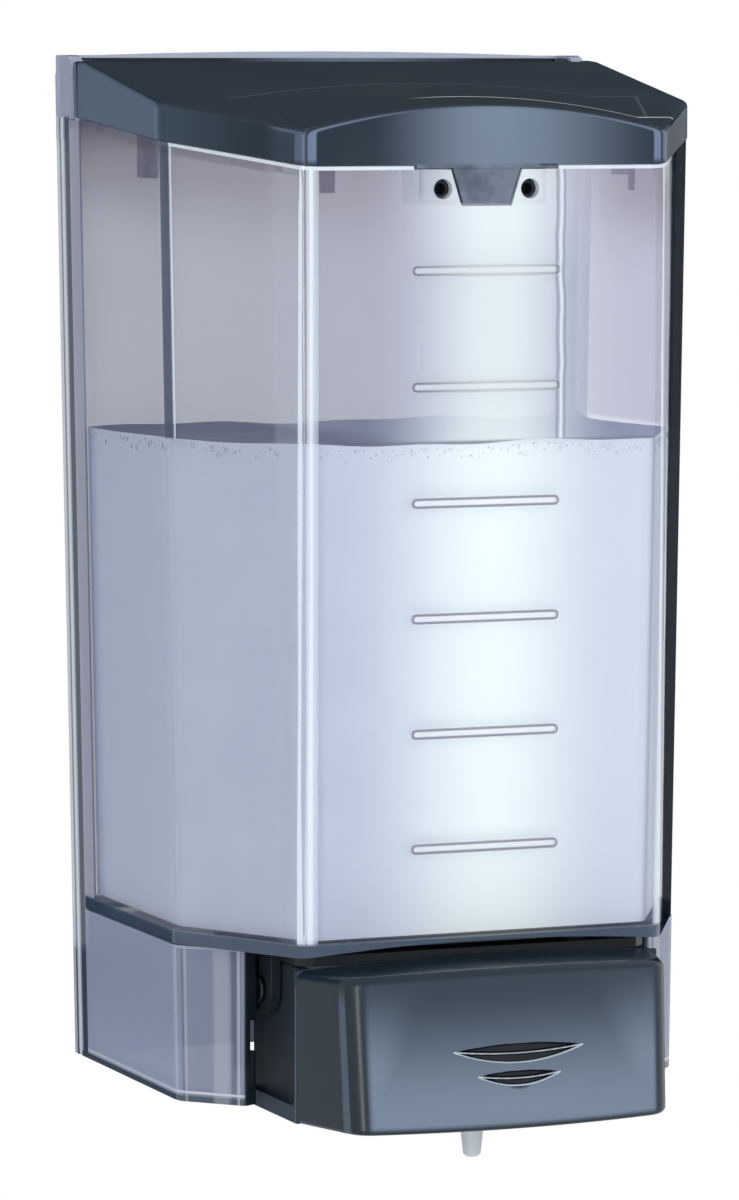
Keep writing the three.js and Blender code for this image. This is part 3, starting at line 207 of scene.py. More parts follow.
class Value:
    """One number socket of a material. Sums and products of it add Math nodes."""

    __add__ = maths_method("ADD")
    __radd__ = maths_method("ADD", True)
    __sub__ = maths_method("SUBTRACT")
    __rsub__ = maths_method("SUBTRACT", True)
    __mul__ = maths_method("MULTIPLY")
    __rmul__ = maths_method("MULTIPLY", True)
    __truediv__ = maths_method("DIVIDE")
    __rtruediv__ = maths_method("DIVIDE", True)
    __pow__ = maths_method("POWER")
    least = maths_method("MINIMUM")
    most = maths_method("MAXIMUM")

    def __init__(self, finish, socket):
        self.finish = finish
        self.socket = socket

    def __neg__(self):
        return self * -1.0

    def __abs__(self):
        return self.finish.maths("ABSOLUTE", self)

    def rise(self, start, end):
        """0 before start, 1 after end, with a soft step between."""
        settings = {"interpolation_type": "SMOOTHSTEP"}
        values = {"Value": self, "From Min": start, "From Max": end}
        return Value(self.finish, self.finish.node("ShaderNodeMapRange", settings, values).outputs[0])

    def fall(self, start, end):
        """1 before start, 0 after end, with a soft step between."""
        return 1 - self.rise(start, end)

    def band(self, start, end, soft):
        """1 between start and end, with edges that are soft wide."""
        return self.rise(start - soft, start) * self.fall(end, end + soft)


class Finish:
    """A material with one surface shader, whose masks are written as sums of Values."""

    def __init__(self, name, colour, roughness, **numbers):
        self.material = bpy.data.materials.new(name)
        self.material.use_nodes = True
        self.tree = self.material.node_tree
        self.surface = self.tree.nodes["Principled BSDF"]
        self.colour = colour
        self.roughness = roughness
        self.set("Base Color", colour)
        self.set("Roughness", roughness)
        for label, number in numbers.items():
            self.set(label.replace("_", " "), number)
        self.coordinates = self.node("ShaderNodeTexCoord")

    def node(self, kind, settings=None, values=None):
        """A new node of that kind, with its settings and then its sockets' values or links."""
        made = self.tree.nodes.new(kind)
        for label, setting in (settings or {}).items():
            setattr(made, label, setting)
        for label, value in (values or {}).items():
            self.feed(made.inputs[label], value)
        return made

    def feed(self, socket, value):
        """Links a Value or another socket, or sets a number, a vector or a colour."""
        if isinstance(value, Value):
            value = value.socket
        if isinstance(value, bpy.types.NodeSocket):
            self.tree.links.new(value, socket)
        elif socket.type == "RGBA":
            socket.default_value = (*value[:3], 1.0)
        else:
            socket.default_value = value

    def set(self, label, value):
        self.feed(self.surface.inputs[label], value)

    def maths(self, operation, *terms):
        values = dict(enumerate(terms))
        return Value(self, self.node("ShaderNodeMath", {"operation": operation}, values).outputs[0])

    def axes(self, output="Object"):
        """The three numbers of a coordinate output: the place in metres, or the normal."""
        parts = self.node("ShaderNodeSeparateXYZ", None, {0: self.coordinates.outputs[output]})
        return tuple(Value(self, parts.outputs[k]) for k in range(3))

    def turn(self):
        """Degrees that the surface is turned from the front: 0 ahead, 90 at the sides, 180 behind."""
        across, ahead, _ = self.axes("Normal")
        return self.maths("ARCTAN2", abs(across), -ahead) * math.degrees(1)

    def facing(self):
        """1 on surfaces seen from the side that faces away from the dispenser's middle, 0 on others."""
        x, y, _ = self.axes()
        across, ahead, _ = self.axes("Normal")
        return (x * across + (y + middle_depth) * ahead).rise(0.0, 0.002)

    def outside(self, bend, corner, front):
        """1 on outer walls, 0 on inner ones, by how far they are from a side, a chamfer and a front."""
        x, y, z = self.axes()
        chamfer = (abs(x) - corner) / (wall_side(z) - corner) + (-y - bend) / (front - bend) - 1
        steepness = math.hypot(1 / (side_half + 0.002 - corner), 1 / (front - bend))
        nearest = (abs(x) - wall_side(z)).most(-y - front).most(chamfer / steepness)
        return nearest.rise(-0.0016, -0.0012)

    def mix(self, first, second, share):
        """A colour that goes from first to second as share goes from 0 to 1."""
        made = self.node("ShaderNodeMix", {"data_type": "RGBA"}, {0: share, 6: first, 7: second})
        return made.outputs[2]

    def paint(self, colour, share):
        """Lays a colour over the base colour, as far as share goes from 0 to 1."""
        self.colour = self.mix(self.colour, colour, share)
        self.set("Base Color", self.colour)

    def noise(self, scale, detail=2.0, stretch=(1.0, 1.0, 1.0), roughness=0.5):
        """Noise around one half, with its cells 1 / scale metres wide and divided by stretch."""
        vector = {"Vector": self.coordinates.outputs["Object"], "Scale": stretch}
        mapped = self.node("ShaderNodeMapping", None, vector).outputs[0]
        values = {"Vector": mapped, "Scale": scale, "Detail": detail, "Roughness": roughness}
        return Value(self, self.node("ShaderNodeTexNoise", None, values).outputs[0])

    def edge_on(self, blend):
        """1 where the surface is seen edge-on, 0 where it is seen square."""
        return Value(self, self.node("ShaderNodeLayerWeight", None, {"Blend": blend}).outputs["Facing"])

    def bump(self, height, distance, strength=1.0):
        values = {"Height": height, "Distance": distance, "Strength": strength}
        self.set("Normal", self.node("ShaderNodeBump", None, values).outputs[0])

    def grained(self, colour, grain, spread=0.0, bump=None):
        """Lays a colour over the base colour by a grain, which may also add roughness and a bump."""
        self.paint(colour, grain)
        if spread:
            self.set("Roughness", self.roughness + spread * grain)
        if bump:
            self.bump(grain, *bump)
        return self.material


# Finishes


def clear_tank(colours):
    """Clear smoke plastic of the tank, with painted highlights and painted shade down its bend and corners,
    a painted glow down its front and painted shade under the lid.
    """
    finish = Finish("clear_tank", colours.clear_plastic, 0.09, IOR=1.5)
    x, y, z = finish.axes()
    depth = -y
    turn = finish.turn()
    outside = finish.outside(bend_depth, corner_half, front_depth)
    corner = depth.rise(0.100, 0.1035) * outside
    above = z.rise(liquid_level - 0.0005, liquid_level + 0.0005)
    left = x.fall(0.0, 0.001)
    # Painted highlights and painted shade down the front corners, darker above the liquid
    bright = turn.band(11.0, 18.0, 4.0).most(turn.band(6.0, 25.0, 2.5) * 0.75) * corner * left
    bright = bright.most(turn.band(37.0, 46.0, 2.0) * corner).most(turn.band(49.0, 58.0, 4.0) * corner * 0.3)
    shade = turn.band(28.5, 34.0, 2.0) * corner * (0.15 + above * 0.8) * left
    shade = shade.most(depth.band(0.1036, 0.1062, 0.0006) * turn.band(59.0, 64.0, 2.0) * outside * 0.25)
    # A painted dark refraction line down the bend, darker above the liquid, with a painted highlight beside
    # it
    bend = depth.band(0.0738, 0.0761, 0.0003) * outside
    dark = bend * (0.12 + above * 0.8)
    bright = bright.most(depth.band(0.0765, 0.0768, 0.0002) * outside * above * 0.9)
    # A painted highlight along the rim, and painted shade just under it and under the lid
    front_rim, back_rim = rim_heights(depth)
    rim = front_rim.least(back_rim)
    below_rim = rim - z
    rim_line = below_rim.band(0.0, 0.0007, 0.0002) * turn.fall(66.0, 74.0) * outside
    under_rim = below_rim.band(0.0009, 0.0026, 0.0004) * turn.fall(66.0, 100.0) * (1 - corner)
    under_lid = below_rim.fall(0.006, 0.03)
    # A painted dark band along the floor
    base = z.fall(tank_floor - 0.0008, tank_floor + 0.0003)
    near_front = depth.rise(0.1, 0.102)
    on_front = depth.rise(0.108, 0.1085) * outside
    # A painted glow down the middle of the front
    glow = abs(x - glow_middle).fall(0.002, 0.036) * near_front
    # Painted shade down the right chamfer, and painted highlights down the right corner and beside the left
    # one
    past = x - z * 0.02
    side_dark = past.rise(0.0498, 0.0528) * outside * finish.facing() * depth.rise(0.070, 0.074)
    bright = bright.most(past.band(0.0472, 0.0492, 0.0018) * near_front * outside * 0.9)
    bright = bright.most(x.band(-0.0449, -0.0429, 0.0004) * on_front * 0.6)
    wander = x + (finish.noise(90.0, 1.0, (0.2, 0.2, 1.0)) - 0.5) * 0.0016
    streak = wander.band(0.0192, 0.0197, 0.0003) * above * on_front
    beside = wander.band(0.0182, 0.0187, 0.0003).most(wander.band(0.0202, 0.0205, 0.0002))
    beside = beside * above * on_front
    # A painted light band on the side walls near the back
    rear = depth.fall(0.0165, 0.018) * outside
    finish.paint((0.33, 0.31, 0.43), under_lid * (1 - glow))
    finish.paint((0.86, 0.95, 1.0), glow)
    finish.paint((0.6, 0.62, 0.76), rear)
    finish.paint((0.2, 0.19, 0.27), shade.most(under_rim).most(beside * 0.6))
    finish.paint((0.78, 0.88, 0.97), bright.most(rim_line).most(streak))
    finish.paint((0.05, 0.085, 0.14), base)
    finish.paint((0.003, 0.028, 0.07), dark)
    finish.paint((0.002, 0.012, 0.03), side_dark)
    alpha = 0.1 + 0.16 * finish.edge_on(0.3) ** 3.0 + x.rise(0.01, 0.05) * above * 0.16
    alpha = alpha + under_lid * 0.16 + glow * above * 0.48
    alpha = alpha.most(bright * 0.8).most(shade * 0.8).most(under_rim * 0.5).most(rim_line * 0.8)
    alpha = alpha.most(dark).most(base * 0.85).most(side_dark * 0.97)
    alpha = alpha.most(rear * 0.7).most(streak * 0.7).most(beside * 0.25)
    finish.set("Alpha", alpha)
    finish.set("Roughness", 0.07 + 0.05 * finish.noise(160.0))
    return finish.material


def clear_bracket(colours):
    """Smoke plastic of the bracket: plate, flanges and skirts, with painted dark lines and painted
    highlights along their edges and painted shade on the skirts and the plate.
    """
    finish = Finish("clear_bracket", colours.bracket_plastic, 0.16, IOR=1.45)
    x, y, z = finish.axes()
    depth = -y
    turn = finish.turn()
    outside = finish.outside(skirt_bend, nose_half, nose_depth)
    plate = depth.fall(0.0024, 0.0027)
    flange = depth.fall(flange_depth + 0.0002, flange_depth + 0.0006) * turn.band(70.0, 110.0, 5.0)
    flange = flange * z.fall(edge_back - 0.0006, edge_back)
    skirt = z.fall(tank_foot - 0.0012, tank_foot - 0.0006) * depth.rise(flange_depth, flange_depth + 0.0006)
    chamfer = depth.rise(skirt_bend + 0.0005, skirt_bend + 0.0012) * skirt
    # Painted highlights along the flanges' edges and down the skirts
    bright = flange * depth.band(0.0036, 0.0052, 0.0004).most(depth.band(0.0002, 0.0018, 0.0004) * 0.6)
    bright = bright.most(depth.band(0.0765, 0.0769, 0.0002) * skirt * 0.2)
    bright = bright.most(depth.band(0.0825, 0.0845, 0.001) * skirt * 0.2)
    bright = bright.most(depth.band(0.0866, 0.0869, 0.0002) * skirt * 0.35) * outside
    # Painted dark refraction lines along the flanges and down the skirts
    dark = flange * depth.band(0.0066, 0.0096, 0.0006).most(depth.band(0.0024, 0.0032, 0.0003) * 0.6)
    dark = dark.most(depth.band(0.0748, 0.0762, 0.0004) * skirt * 0.4)
    dark = dark.most(depth.band(0.0855, 0.0862, 0.0003) * skirt * 0.6) * outside
    # Painted shade on the skirts' rounded noses
    nose = depth.rise(0.0852, 0.0858) * abs(x).fall(nose_half - 0.0002, nose_half + 0.0002) * skirt
    lip = z.fall(-0.1238, -0.1232) * (1 - plate)
    # Painted highlight lines along the skirts' foot and top
    lip_line = z.band(-0.1229, -0.1225, 0.0002) * skirt * outside
    top_line = z.band(tank_foot - 0.0008, tank_foot - 0.0004, 0.0002) * skirt * outside
    lug = z.rise(edge_back, edge_back + 0.0005) * (1 - plate)
    finish.paint((0.3, 0.36, 0.5), z.rise(-0.125, -0.1) * 0.4)
    # Painted shade on the skirts' chamfers
    finish.paint((0.17, 0.2, 0.29), chamfer * 0.75)
    finish.paint((0.62, 0.65, 0.78), plate * z.rise(-0.09, -0.085))
    # Painted shade on the plate behind the pump
    finish.paint((0.03, 0.035, 0.05), plate * z.fall(-0.1, -0.095))
    # Painted shade on the plate under the lid
    finish.paint((0.48, 0.58, 0.76), plate * z.rise(0.1, 0.11))
    finish.paint((0.6, 0.62, 0.72), lug * finish.noise(260.0, 1.0) * 0.5)
    finish.paint((0.06, 0.085, 0.13), dark.most(lip))
    finish.paint((0.85, 0.92, 1.0), bright.most(lip_line * 0.7).most(top_line * 0.35))
    finish.paint((0.012, 0.02, 0.028), nose)
    alpha = 0.8 - plate * 0.5 + plate * z.rise(0.1, 0.11) * 0.4 + 0.2 * finish.edge_on(0.4) ** 2.0
    alpha = alpha.most(plate * z.fall(-0.1, -0.095))
    alpha = alpha.most(flange * 0.8).most(bright * 0.9).most(dark * 0.9).most(nose * 0.97).most(lip * 0.9)
    finish.set("Alpha", alpha)
    finish.set("Roughness", 0.12 + 0.08 * finish.noise(140.0))
    return finish.material


def white_liquid(colours):
    """White soap in painted shade, lilac, towards its sides, with a painted glow down the middle of the
    front, painted light on its side faces and to the right, and painted shade on its surface, lighter
    towards the middle and right.
    """
    finish = Finish("white_liquid", colours.soap_shade, 0.45, IOR=1.3)
    x, y, _ = finish.axes()
    _, _, up = finish.axes("Normal")
    # A painted glow down the middle of the front, over the soap's painted shade
    middle = abs(x - glow_middle).fall(0.0, 0.046) * (-y).rise(0.09, 0.104)
    # Painted light on the side faces and towards the right
    finish.paint((0.64, 0.72, 0.85), finish.turn().rise(65.0, 85.0))
    finish.paint((0.72, 0.79, 0.86), x.rise(0.015, 0.046))
    finish.paint(colours.soap, middle)
    # Painted shade on the liquid's surface, lit towards the middle and right
    light = x.rise(-0.03, -0.008) * (1 - x.rise(0.01, 0.04) * 0.1)
    grey = finish.mix((0.16, 0.2, 0.29), (0.56, 0.66, 0.8), light)
    finish.paint(grey, up.rise(0.5, 0.9))
    finish.paint((0.86, 0.9, 1.0), finish.noise(60.0, 3.0).rise(0.35, 0.75) * 0.1)
    finish.bump(finish.noise(220.0, 2.0), 0.0001, 0.15)
    return finish.material


def froth(colours):
    """Bubbles: pale in the middle with painted grey shade round the rim."""
    finish = Finish("froth", colours.soap, 0.25)
    _, ahead, _ = finish.axes("Normal")
    rim = 1 - abs(ahead)
    # Painted shade round each bubble's rim
    finish.paint((0.42, 0.48, 0.62), rim.rise(0.1, 0.6))
    finish.set("Alpha", 0.3 + 0.3 * rim)
    return finish.material


def level_mark(colours):
    """Raised bars of the tank's scale: a painted highlight down the middle in a thin painted dark refraction
    outline, darker above the liquid, with a painted white highlight round the edge.
    """
    finish = Finish("level_mark", colours.clear_plastic, 0.12, IOR=1.5)
    x, _, z = finish.axes()
    off = finish.maths("WRAP", z - bar_first, bar_pitch / 2, -bar_pitch / 2)
    past_end = (abs(x) - bar_straight).most(0.0)
    distance = (off * off + past_end * past_end) ** 0.5
    # A painted dark refraction outline, darker above the liquid
    line = distance.band(0.0007, 0.00115, 0.0001)
    above = z.rise(liquid_level, liquid_level + 0.004)
    dark = finish.mix((0.22, 0.22, 0.3), (0.018, 0.015, 0.03), above)
    # A painted highlight down the middle, and a painted white highlight round the edge
    middle = finish.mix((0.68, 0.7, 0.78), (0.86, 0.9, 0.95), distance.fall(0.0003, 0.0008))
    halo = distance.rise(0.0012, 0.0013)
    colour = finish.mix(finish.mix(middle, dark, line), (0.95, 0.98, 1.0), halo)
    finish.set("Base Color", colour)
    finish.set("Alpha", 0.5 + line * 0.45 - halo * 0.1)
    return finish.material


def gloss_dark(colours):
    """Dark blue-black moulded plastic of the lid, with painted light in the middle of its front and on its
    chamfers and sides, and painted highlights down its front corners and along its top's front edge.
    """
    finish = Finish("gloss_dark", colours.dark_plastic, 0.2, IOR=1.45, Specular_IOR_Level=0.28)
    x, y, z = finish.axes()
    depth = -y
    turn = finish.turn()
    _, _, up = finish.axes("Normal")
    top = up.rise(0.55, 0.85)
    front = (1 - top) * turn.fall(4.0, 10.0)
    # Painted highlights down the front corners, and painted light in the middle of the front
    corner = turn.band(8.0, 22.0, 6.0).most(turn.band(35.0, 53.0, 6.0) * 0.55) * depth.rise(0.1, 0.104)
    middle = x.rise(-0.031, 0.001) * x.fall(0.003, 0.048)
    finish.paint((0.15, 0.2, 0.28), front * middle)
    finish.paint((0.14, 0.19, 0.29), corner * (1 - top) * z.rise(edge_front, edge_front + 0.002))
    # Painted light on the chamfers and the sides
    side = turn.band(50.0, 70.0, 4.0) * depth.fall(0.074, 0.1)
    finish.paint((0.03, 0.055, 0.085), (1 - top) * side)
    finish.paint((0.13, 0.185, 0.27), (1 - top) * turn.rise(64.0, 86.0))
    # A painted highlight along the top's front edge
    edge = depth.band(0.0945, 0.0951, 0.0002) * x.band(-0.005, 0.052, 0.01)
    line = depth.band(0.0678, 0.0683, 0.0002) * x.band(-0.049, 0.057, 0.001)
    slant = (x + depth * 0.35).band(0.0815, 0.0822, 0.0002) * depth.band(0.0678, 0.0945, 0.0005)
    line = line.most(slant * 0.7)
    finish.paint((0.1, 0.14, 0.19), line * top * 0.6)
    finish.paint((0.75, 0.82, 0.88), edge * top)
    finish.paint((0.1, 0.12, 0.16), finish.noise(35.0, 3.0).rise(0.45, 0.8) * 0.08)
    finish.set("Roughness", 0.2 + top * 0.3 + 0.1 * finish.noise(90.0))
    finish.bump(finish.noise(900.0, 2.0), 0.00004, 0.25)
    return finish.material


def cover_gloss(colours):
    """The same plastic on the push cover, with painted light towards the foot and the sides of its front,
    painted shade and a painted highlight line at its left corner, and painted shade in its grips with
    painted highlights along them.
    """
    finish = Finish("cover_gloss", colours.dark_plastic, 0.22, IOR=1.45, Specular_IOR_Level=0.35)
    x, y, z = finish.axes()
    height = (z - cover_base) / (cover_top - cover_base)
    turn = finish.turn()
    _, _, up = finish.axes("Normal")
    front = turn.fall(14.0, 26.0) * up.fall(0.2, 0.5) * up.rise(-0.6, -0.2)
    low = height.fall(0.1, 0.95)
    sides = x.rise(0.012, 0.036).most((-x).rise(0.018, 0.037))
    # Painted light towards the foot and the sides of the front
    light = (low.most(sides * height.fall(0.35, 1.05)) * 0.9 + 0.1) * front
    light = light * (1 - x.rise(0.0385, 0.04).most((-x).rise(0.0362, 0.0388)) * 0.75)
    light = light * height.rise(0.015, 0.06)
    left = x.fall(0.0, 0.001)
    # Painted shade on the left front corner, and a painted highlight line on its chamfer
    corner = turn.band(30.0, 62.0, 10.0) * (-y).rise(0.118, 0.121) * (1 - front) * left
    line = turn.band(60.0, 66.0, 4.0) * (-y).band(0.121, 0.1255, 0.0008) * left * height.fall(0.8, 1.0)
    finish.paint((0.155, 0.205, 0.28), light)
    finish.paint((0.01, 0.02, 0.03), corner)
    finish.paint((0.07, 0.1, 0.14), line)
    finish.paint((0.25, 0.29, 0.36), finish.noise(45.0, 3.0).rise(0.45, 0.8) * 0.06 * light)
    for middle, half, rise, drop in grips:
        bulge = 1 - (x / half) ** 2.0
        tall = bulge.most(0.01) * (rise + drop)
        share = (z - (skirt_foot + middle) + bulge * drop) / tall
        inside = bulge.rise(0.0, 0.03) * share.band(0.0, 1.0, 0.02)
        thin = 0.00022 / tall
        ridge = 1 - (abs(share - 0.5) / thin).least(1.0)
        foot = 1 - (abs(share - 0.02) / thin).least(1.0)
        # Painted shade inside each grip, and painted highlights along its ridge and its foot
        finish.paint((0.005, 0.008, 0.013), inside)
        finish.paint((0.62, 0.7, 0.78), ridge.most(foot) * bulge.rise(0.0, 0.02))
    finish.set("Roughness", 0.2 + 0.1 * finish.noise(90.0))
    finish.bump(finish.noise(900.0, 2.0), 0.00005, 0.3)
    return finish.material


def grip_dark(colours):
    """Dark plastic in painted shade in the cover's cheeks and grips, with painted light on the cheeks' rim
    and foot and a painted highlight line along the recess edge.
    """
    finish = Finish("grip_dark", (0.018, 0.025, 0.034), 0.4, IOR=1.4, Specular_IOR_Level=0.2)
    _, y, z = finish.axes()
    # Painted light on the cheeks' rim and foot, and a painted highlight line at the recess edge
    rim = (-y).rise(0.1047, 0.1049).most(z.fall(skirt_foot + 0.002, skirt_foot + 0.0024))
    edge = (-y).band(0.1051, 0.1058, 0.0003) * z.fall(skirt_foot + 0.03, skirt_foot + 0.032)
    finish.paint((0.035, 0.055, 0.085), rim)
    finish.paint((0.08, 0.13, 0.18), edge)
    finish.set("Roughness", 0.36 + 0.12 * finish.noise(300.0))
    finish.bump(finish.noise(800.0, 2.0), 0.00005, 0.3)
    return finish.material


def tab_dark(colours):
    """The latch tab's plastic, grey-blue in the light."""
    finish = Finish("tab_dark", (0.07, 0.09, 0.13), 0.25, IOR=1.45, Specular_IOR_Level=0.35)
    cloud = finish.noise(160.0, 2.0)
    finish.paint((0.14, 0.18, 0.24), cloud.rise(0.3, 0.7))
    finish.set("Roughness", 0.22 + 0.1 * cloud)
    return finish.material


def guide_grey(colours):
    """Thin guides under the lid, which let light through."""
    finish = Finish("guide_grey", (0.12, 0.15, 0.21), 0.3, IOR=1.45)
    finish.paint((0.3, 0.34, 0.43), finish.noise(200.0, 2.0).rise(0.4, 0.7))
    finish.set("Alpha", 0.6 + 0.2 * finish.edge_on(0.4))
    return finish.material


def satin_dark(colours):
    """Black plastic of the chassis and the lock bar."""
    finish = Finish("satin_dark", (0.009, 0.011, 0.015), 0.3, Specular_IOR_Level=0.25)
    return finish.grained((0.02, 0.025, 0.032), finish.noise(600.0, 3.0), 0.2, (0.00006, 0.35))


def tab_grey(colours):
    """Plastic of the chassis's tabs: black, with painted pale light on its foot."""
    finish = Finish("tab_grey", (0.012, 0.015, 0.02), 0.45, Specular_IOR_Level=0.25)
    _, _, z = finish.axes()
    grain = finish.noise(400.0, 3.0)
    # Painted pale light on the tab's foot
    painted_light_foot = z.fall(skirt_foot + 0.0215, skirt_foot + 0.022)
    finish.paint((0.075, 0.078, 0.11), painted_light_foot)
    finish.paint((0.1, 0.1, 0.12), grain.rise(0.4, 0.8) * 0.2)
    finish.set("Roughness", 0.4 + 0.2 * grain)
    return finish.material


def bright_steel(colours):
    """Drawn stainless steel, with fine lines along it."""
    finish = Finish("bright_steel", colours.steel, 0.18, Metallic=1.0)
    lines = finish.noise(300.0, 2.0, (1.0, 0.1, 1.0))
    return finish.grained((0.42, 0.43, 0.45), lines, 0.2, (0.00003, 0.3))


def black_steel(colours):
    """Blackened steel of the lever's pins."""
    finish = Finish("black_steel", (0.02, 0.022, 0.026), 0.3, Metallic=1.0)
    return finish.grained((0.06, 0.064, 0.07), finish.noise(500.0, 3.0), 0.2)


def natural_plastic(colours):
    """Natural, slightly cloudy plastic of the pump's parts."""
    finish = Finish("natural_plastic", colours.pump_plastic, 0.38)
    cloud = finish.noise(120.0, 3.0)
    finish.paint((0.54, 0.55, 0.53), cloud.rise(0.35, 0.8))
    finish.set("Roughness", 0.32 + 0.16 * cloud)
    finish.bump(finish.noise(700.0, 2.0), 0.00005, 0.25)
    return finish.material


def black_rubber(colours):
    """Matt rubber of the seals."""
    finish = Finish("black_rubber", (0.014, 0.014, 0.015), 0.75)
    return finish.grained((0.035, 0.034, 0.034), finish.noise(900.0, 3.0), bump=(0.00008, 0.5))


def milky_plastic(colours):
    """Milky plastic of the nozzle, whiter towards its top."""
    finish = Finish("milky_plastic", (0.6, 0.66, 0.74), 0.3)
    _, _, z = finish.axes()
    top = z.rise(nozzle_foot + 0.004, nozzle_foot + 0.009)
    finish.paint(colours.nozzle, top)
    finish.paint((0.8, 0.83, 0.87), finish.noise(300.0) * 0.3)
    finish.set("Roughness", 0.26 + 0.12 * finish.noise(250.0))
    return finish.material


FINISHES = {
    make.__name__: make
    for make in (
        clear_tank, clear_bracket, white_liquid, froth, level_mark, gloss_dark, cover_gloss, grip_dark,
        tab_dark, guide_grey, satin_dark, tab_grey, bright_steel, black_steel, natural_plastic, black_rubber,
        milky_plastic,
    )
}


def finish_named(name):
    """The material of that name, made the first time it is asked for."""
    made = bpy.data.materials.get(name)
    return made or FINISHES[name](bpy.context.scene.dispenser_colours)


# Modelling helpers


def deselect_all():
    if bpy.context.object and bpy.context.object.mode != "OBJECT":
        bpy.ops.object.mode_set(mode="OBJECT")
    bpy.ops.object.select_all(action="DESELECT")


def start_piece(name):
    """Names the primitive that was just added, and opens it for editing."""
    piece = bpy.context.object
    piece.name = name
    piece.data.name = name
    bpy.ops.object.transform_apply(location=True, rotation=True, scale=True)
    bpy.ops.object.mode_set(mode="EDIT")
    return piece


def pick(piece, kind, test):
    """Selects the vertices, edges or faces whose middle, and whose normal for a face, pass the test."""
    bpy.ops.mesh.select_mode(type=kind)
    bpy.ops.mesh.select_all(action="DESELECT")
    shape = bmesh.from_edit_mesh(piece.data)
    if kind == "VERT":
        for vertex in shape.verts:
            vertex.select_set(test(vertex.co))
    elif kind == "EDGE":
        for edge in shape.edges:
            first, second = (vertex.co for vertex in edge.verts)
            edge.select_set(test((first + second) / 2, second - first))
    else:
        for face in shape.faces:
            face.select_set(test(face.calc_center_median(), face.normal))
    shape.select_flush_mode()
    bmesh.update_edit_mesh(piece.data)


def use_modifier(piece, kind, **settings):
    """Adds a modifier with its settings and applies it."""
    made = piece.modifiers.new(kind.lower(), kind)
    for label, setting in settings.items():
        setattr(made, label, setting)
    bpy.ops.object.modifier_apply(modifier=made.name)


def close_piece(piece, body, material, replaced=(), smooth=smooth_angle, outward=True):
    """Cleans a finished piece, shades it, gives it its material and says what carries it."""
    if piece.mode != "EDIT":
        bpy.ops.object.mode_set(mode="EDIT")
    bpy.ops.mesh.select_mode(type="VERT")
    bpy.ops.mesh.select_all(action="SELECT")
    bpy.ops.mesh.remove_doubles(threshold=merge_distance)
    if outward:
        bpy.ops.mesh.normals_make_consistent(inside=False)
    bpy.ops.object.mode_set(mode="OBJECT")
    bpy.ops.object.shade_smooth_by_angle(angle=smooth)
    use_modifier(piece, "WEIGHTED_NORMAL", keep_sharp=True)
    piece.data.materials.clear()
    piece.data.materials.append(finish_named(material))
    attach(piece, body)
    if replaced:
        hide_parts(*replaced)
    piece.select_set(False)
    return piece


def merged_copy(node, name, edge):
    """A copy of a node's mesh with its points merged, its flat faces joined and its edges rounded."""
    deselect_all()
    piece = bpy.data.objects.new(name, frame["nodes"][node].data.copy())
    bpy.context.scene.collection.objects.link(piece)
    bpy.context.view_layer.objects.active = piece
    piece.select_set(True)
    bpy.ops.object.mode_set(mode="EDIT")
    bpy.ops.mesh.select_all(action="SELECT")
    bpy.ops.mesh.remove_doubles(threshold=merge_distance)
    bpy.ops.mesh.dissolve_limited(angle_limit=flat_angle)
    bpy.ops.object.mode_set(mode="OBJECT")
    if edge:
        use_modifier(piece, "BEVEL", width=edge, segments=3, limit_method="ANGLE", angle_limit=bevel_angle)
    return piece


def refine(node, material, edge):
    """A merged copy of a node with rounded edges, which stands for the node."""
    piece = merged_copy(node, node + "_finished", edge)
    return close_piece(piece, frame["nodes"][node]["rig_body"], material, (node,), outward=False)


def wrap_grid(name, columns, rows, place):
    """A grid of that many points, each moved to place(column, row), open for editing."""
    deselect_all()
    bpy.ops.mesh.primitive_grid_add(x_subdivisions=columns - 1, y_subdivisions=rows - 1, size=1.0)
    piece = start_piece(name)
    shape = bmesh.from_edit_mesh(piece.data)
    ordered = sorted(shape.verts, key=lambda vertex: (round(vertex.co.y, 5), vertex.co.x))
    for number, vertex in enumerate(ordered):
        vertex.co = place(number % columns, number // columns)
    bmesh.update_edit_mesh(piece.data)
    return piece


def thicken(piece, wall):
    """Gives a wrapped sheet its wall, on the side towards the dispenser's middle."""
    bpy.ops.mesh.select_all(action="SELECT")
    bpy.ops.mesh.remove_doubles(threshold=merge_distance)
    bpy.ops.object.mode_set(mode="OBJECT")
    faces = piece.data.polygons
    shift = Vector((0.0, middle_depth, 0.0))
    outward = sum(face.normal.dot(face.center + shift) * face.area for face in faces)
    use_modifier(piece, "SOLIDIFY", thickness=wall, offset=-1.0 if outward > 0 else 1.0)


def across(path, number):
    """The direction that points out of a path, square to it, at one of its points."""
    along = (path[min(number + 1, len(path) - 1)] - path[max(number - 1, 0)]).normalized()
    return Vector((-along.y, along.x))


def cut_away(place, normal):
    """Cuts the edited piece at a plane, takes off what is past it along the normal, and closes the cut."""
    bpy.ops.mesh.select_all(action="SELECT")
    bpy.ops.mesh.bisect(plane_co=place, plane_no=normal, use_fill=True, clear_outer=True)


# Stage, camera and lights


def add_panel_light(name, place, width, height, power):
    """A rectangular light that looks at the dispenser."""
    bpy.ops.object.light_add(type="AREA", location=place)
    light = bpy.context.object
    light.name = name
    light.data.shape = "RECTANGLE"
    light.data.size = width
    light.data.size_y = height
    light.data.energy = power
    way = Vector(light_target) - light.location
    light.rotation_euler = way.to_track_quat("-Z", "Y").to_euler()
    return light


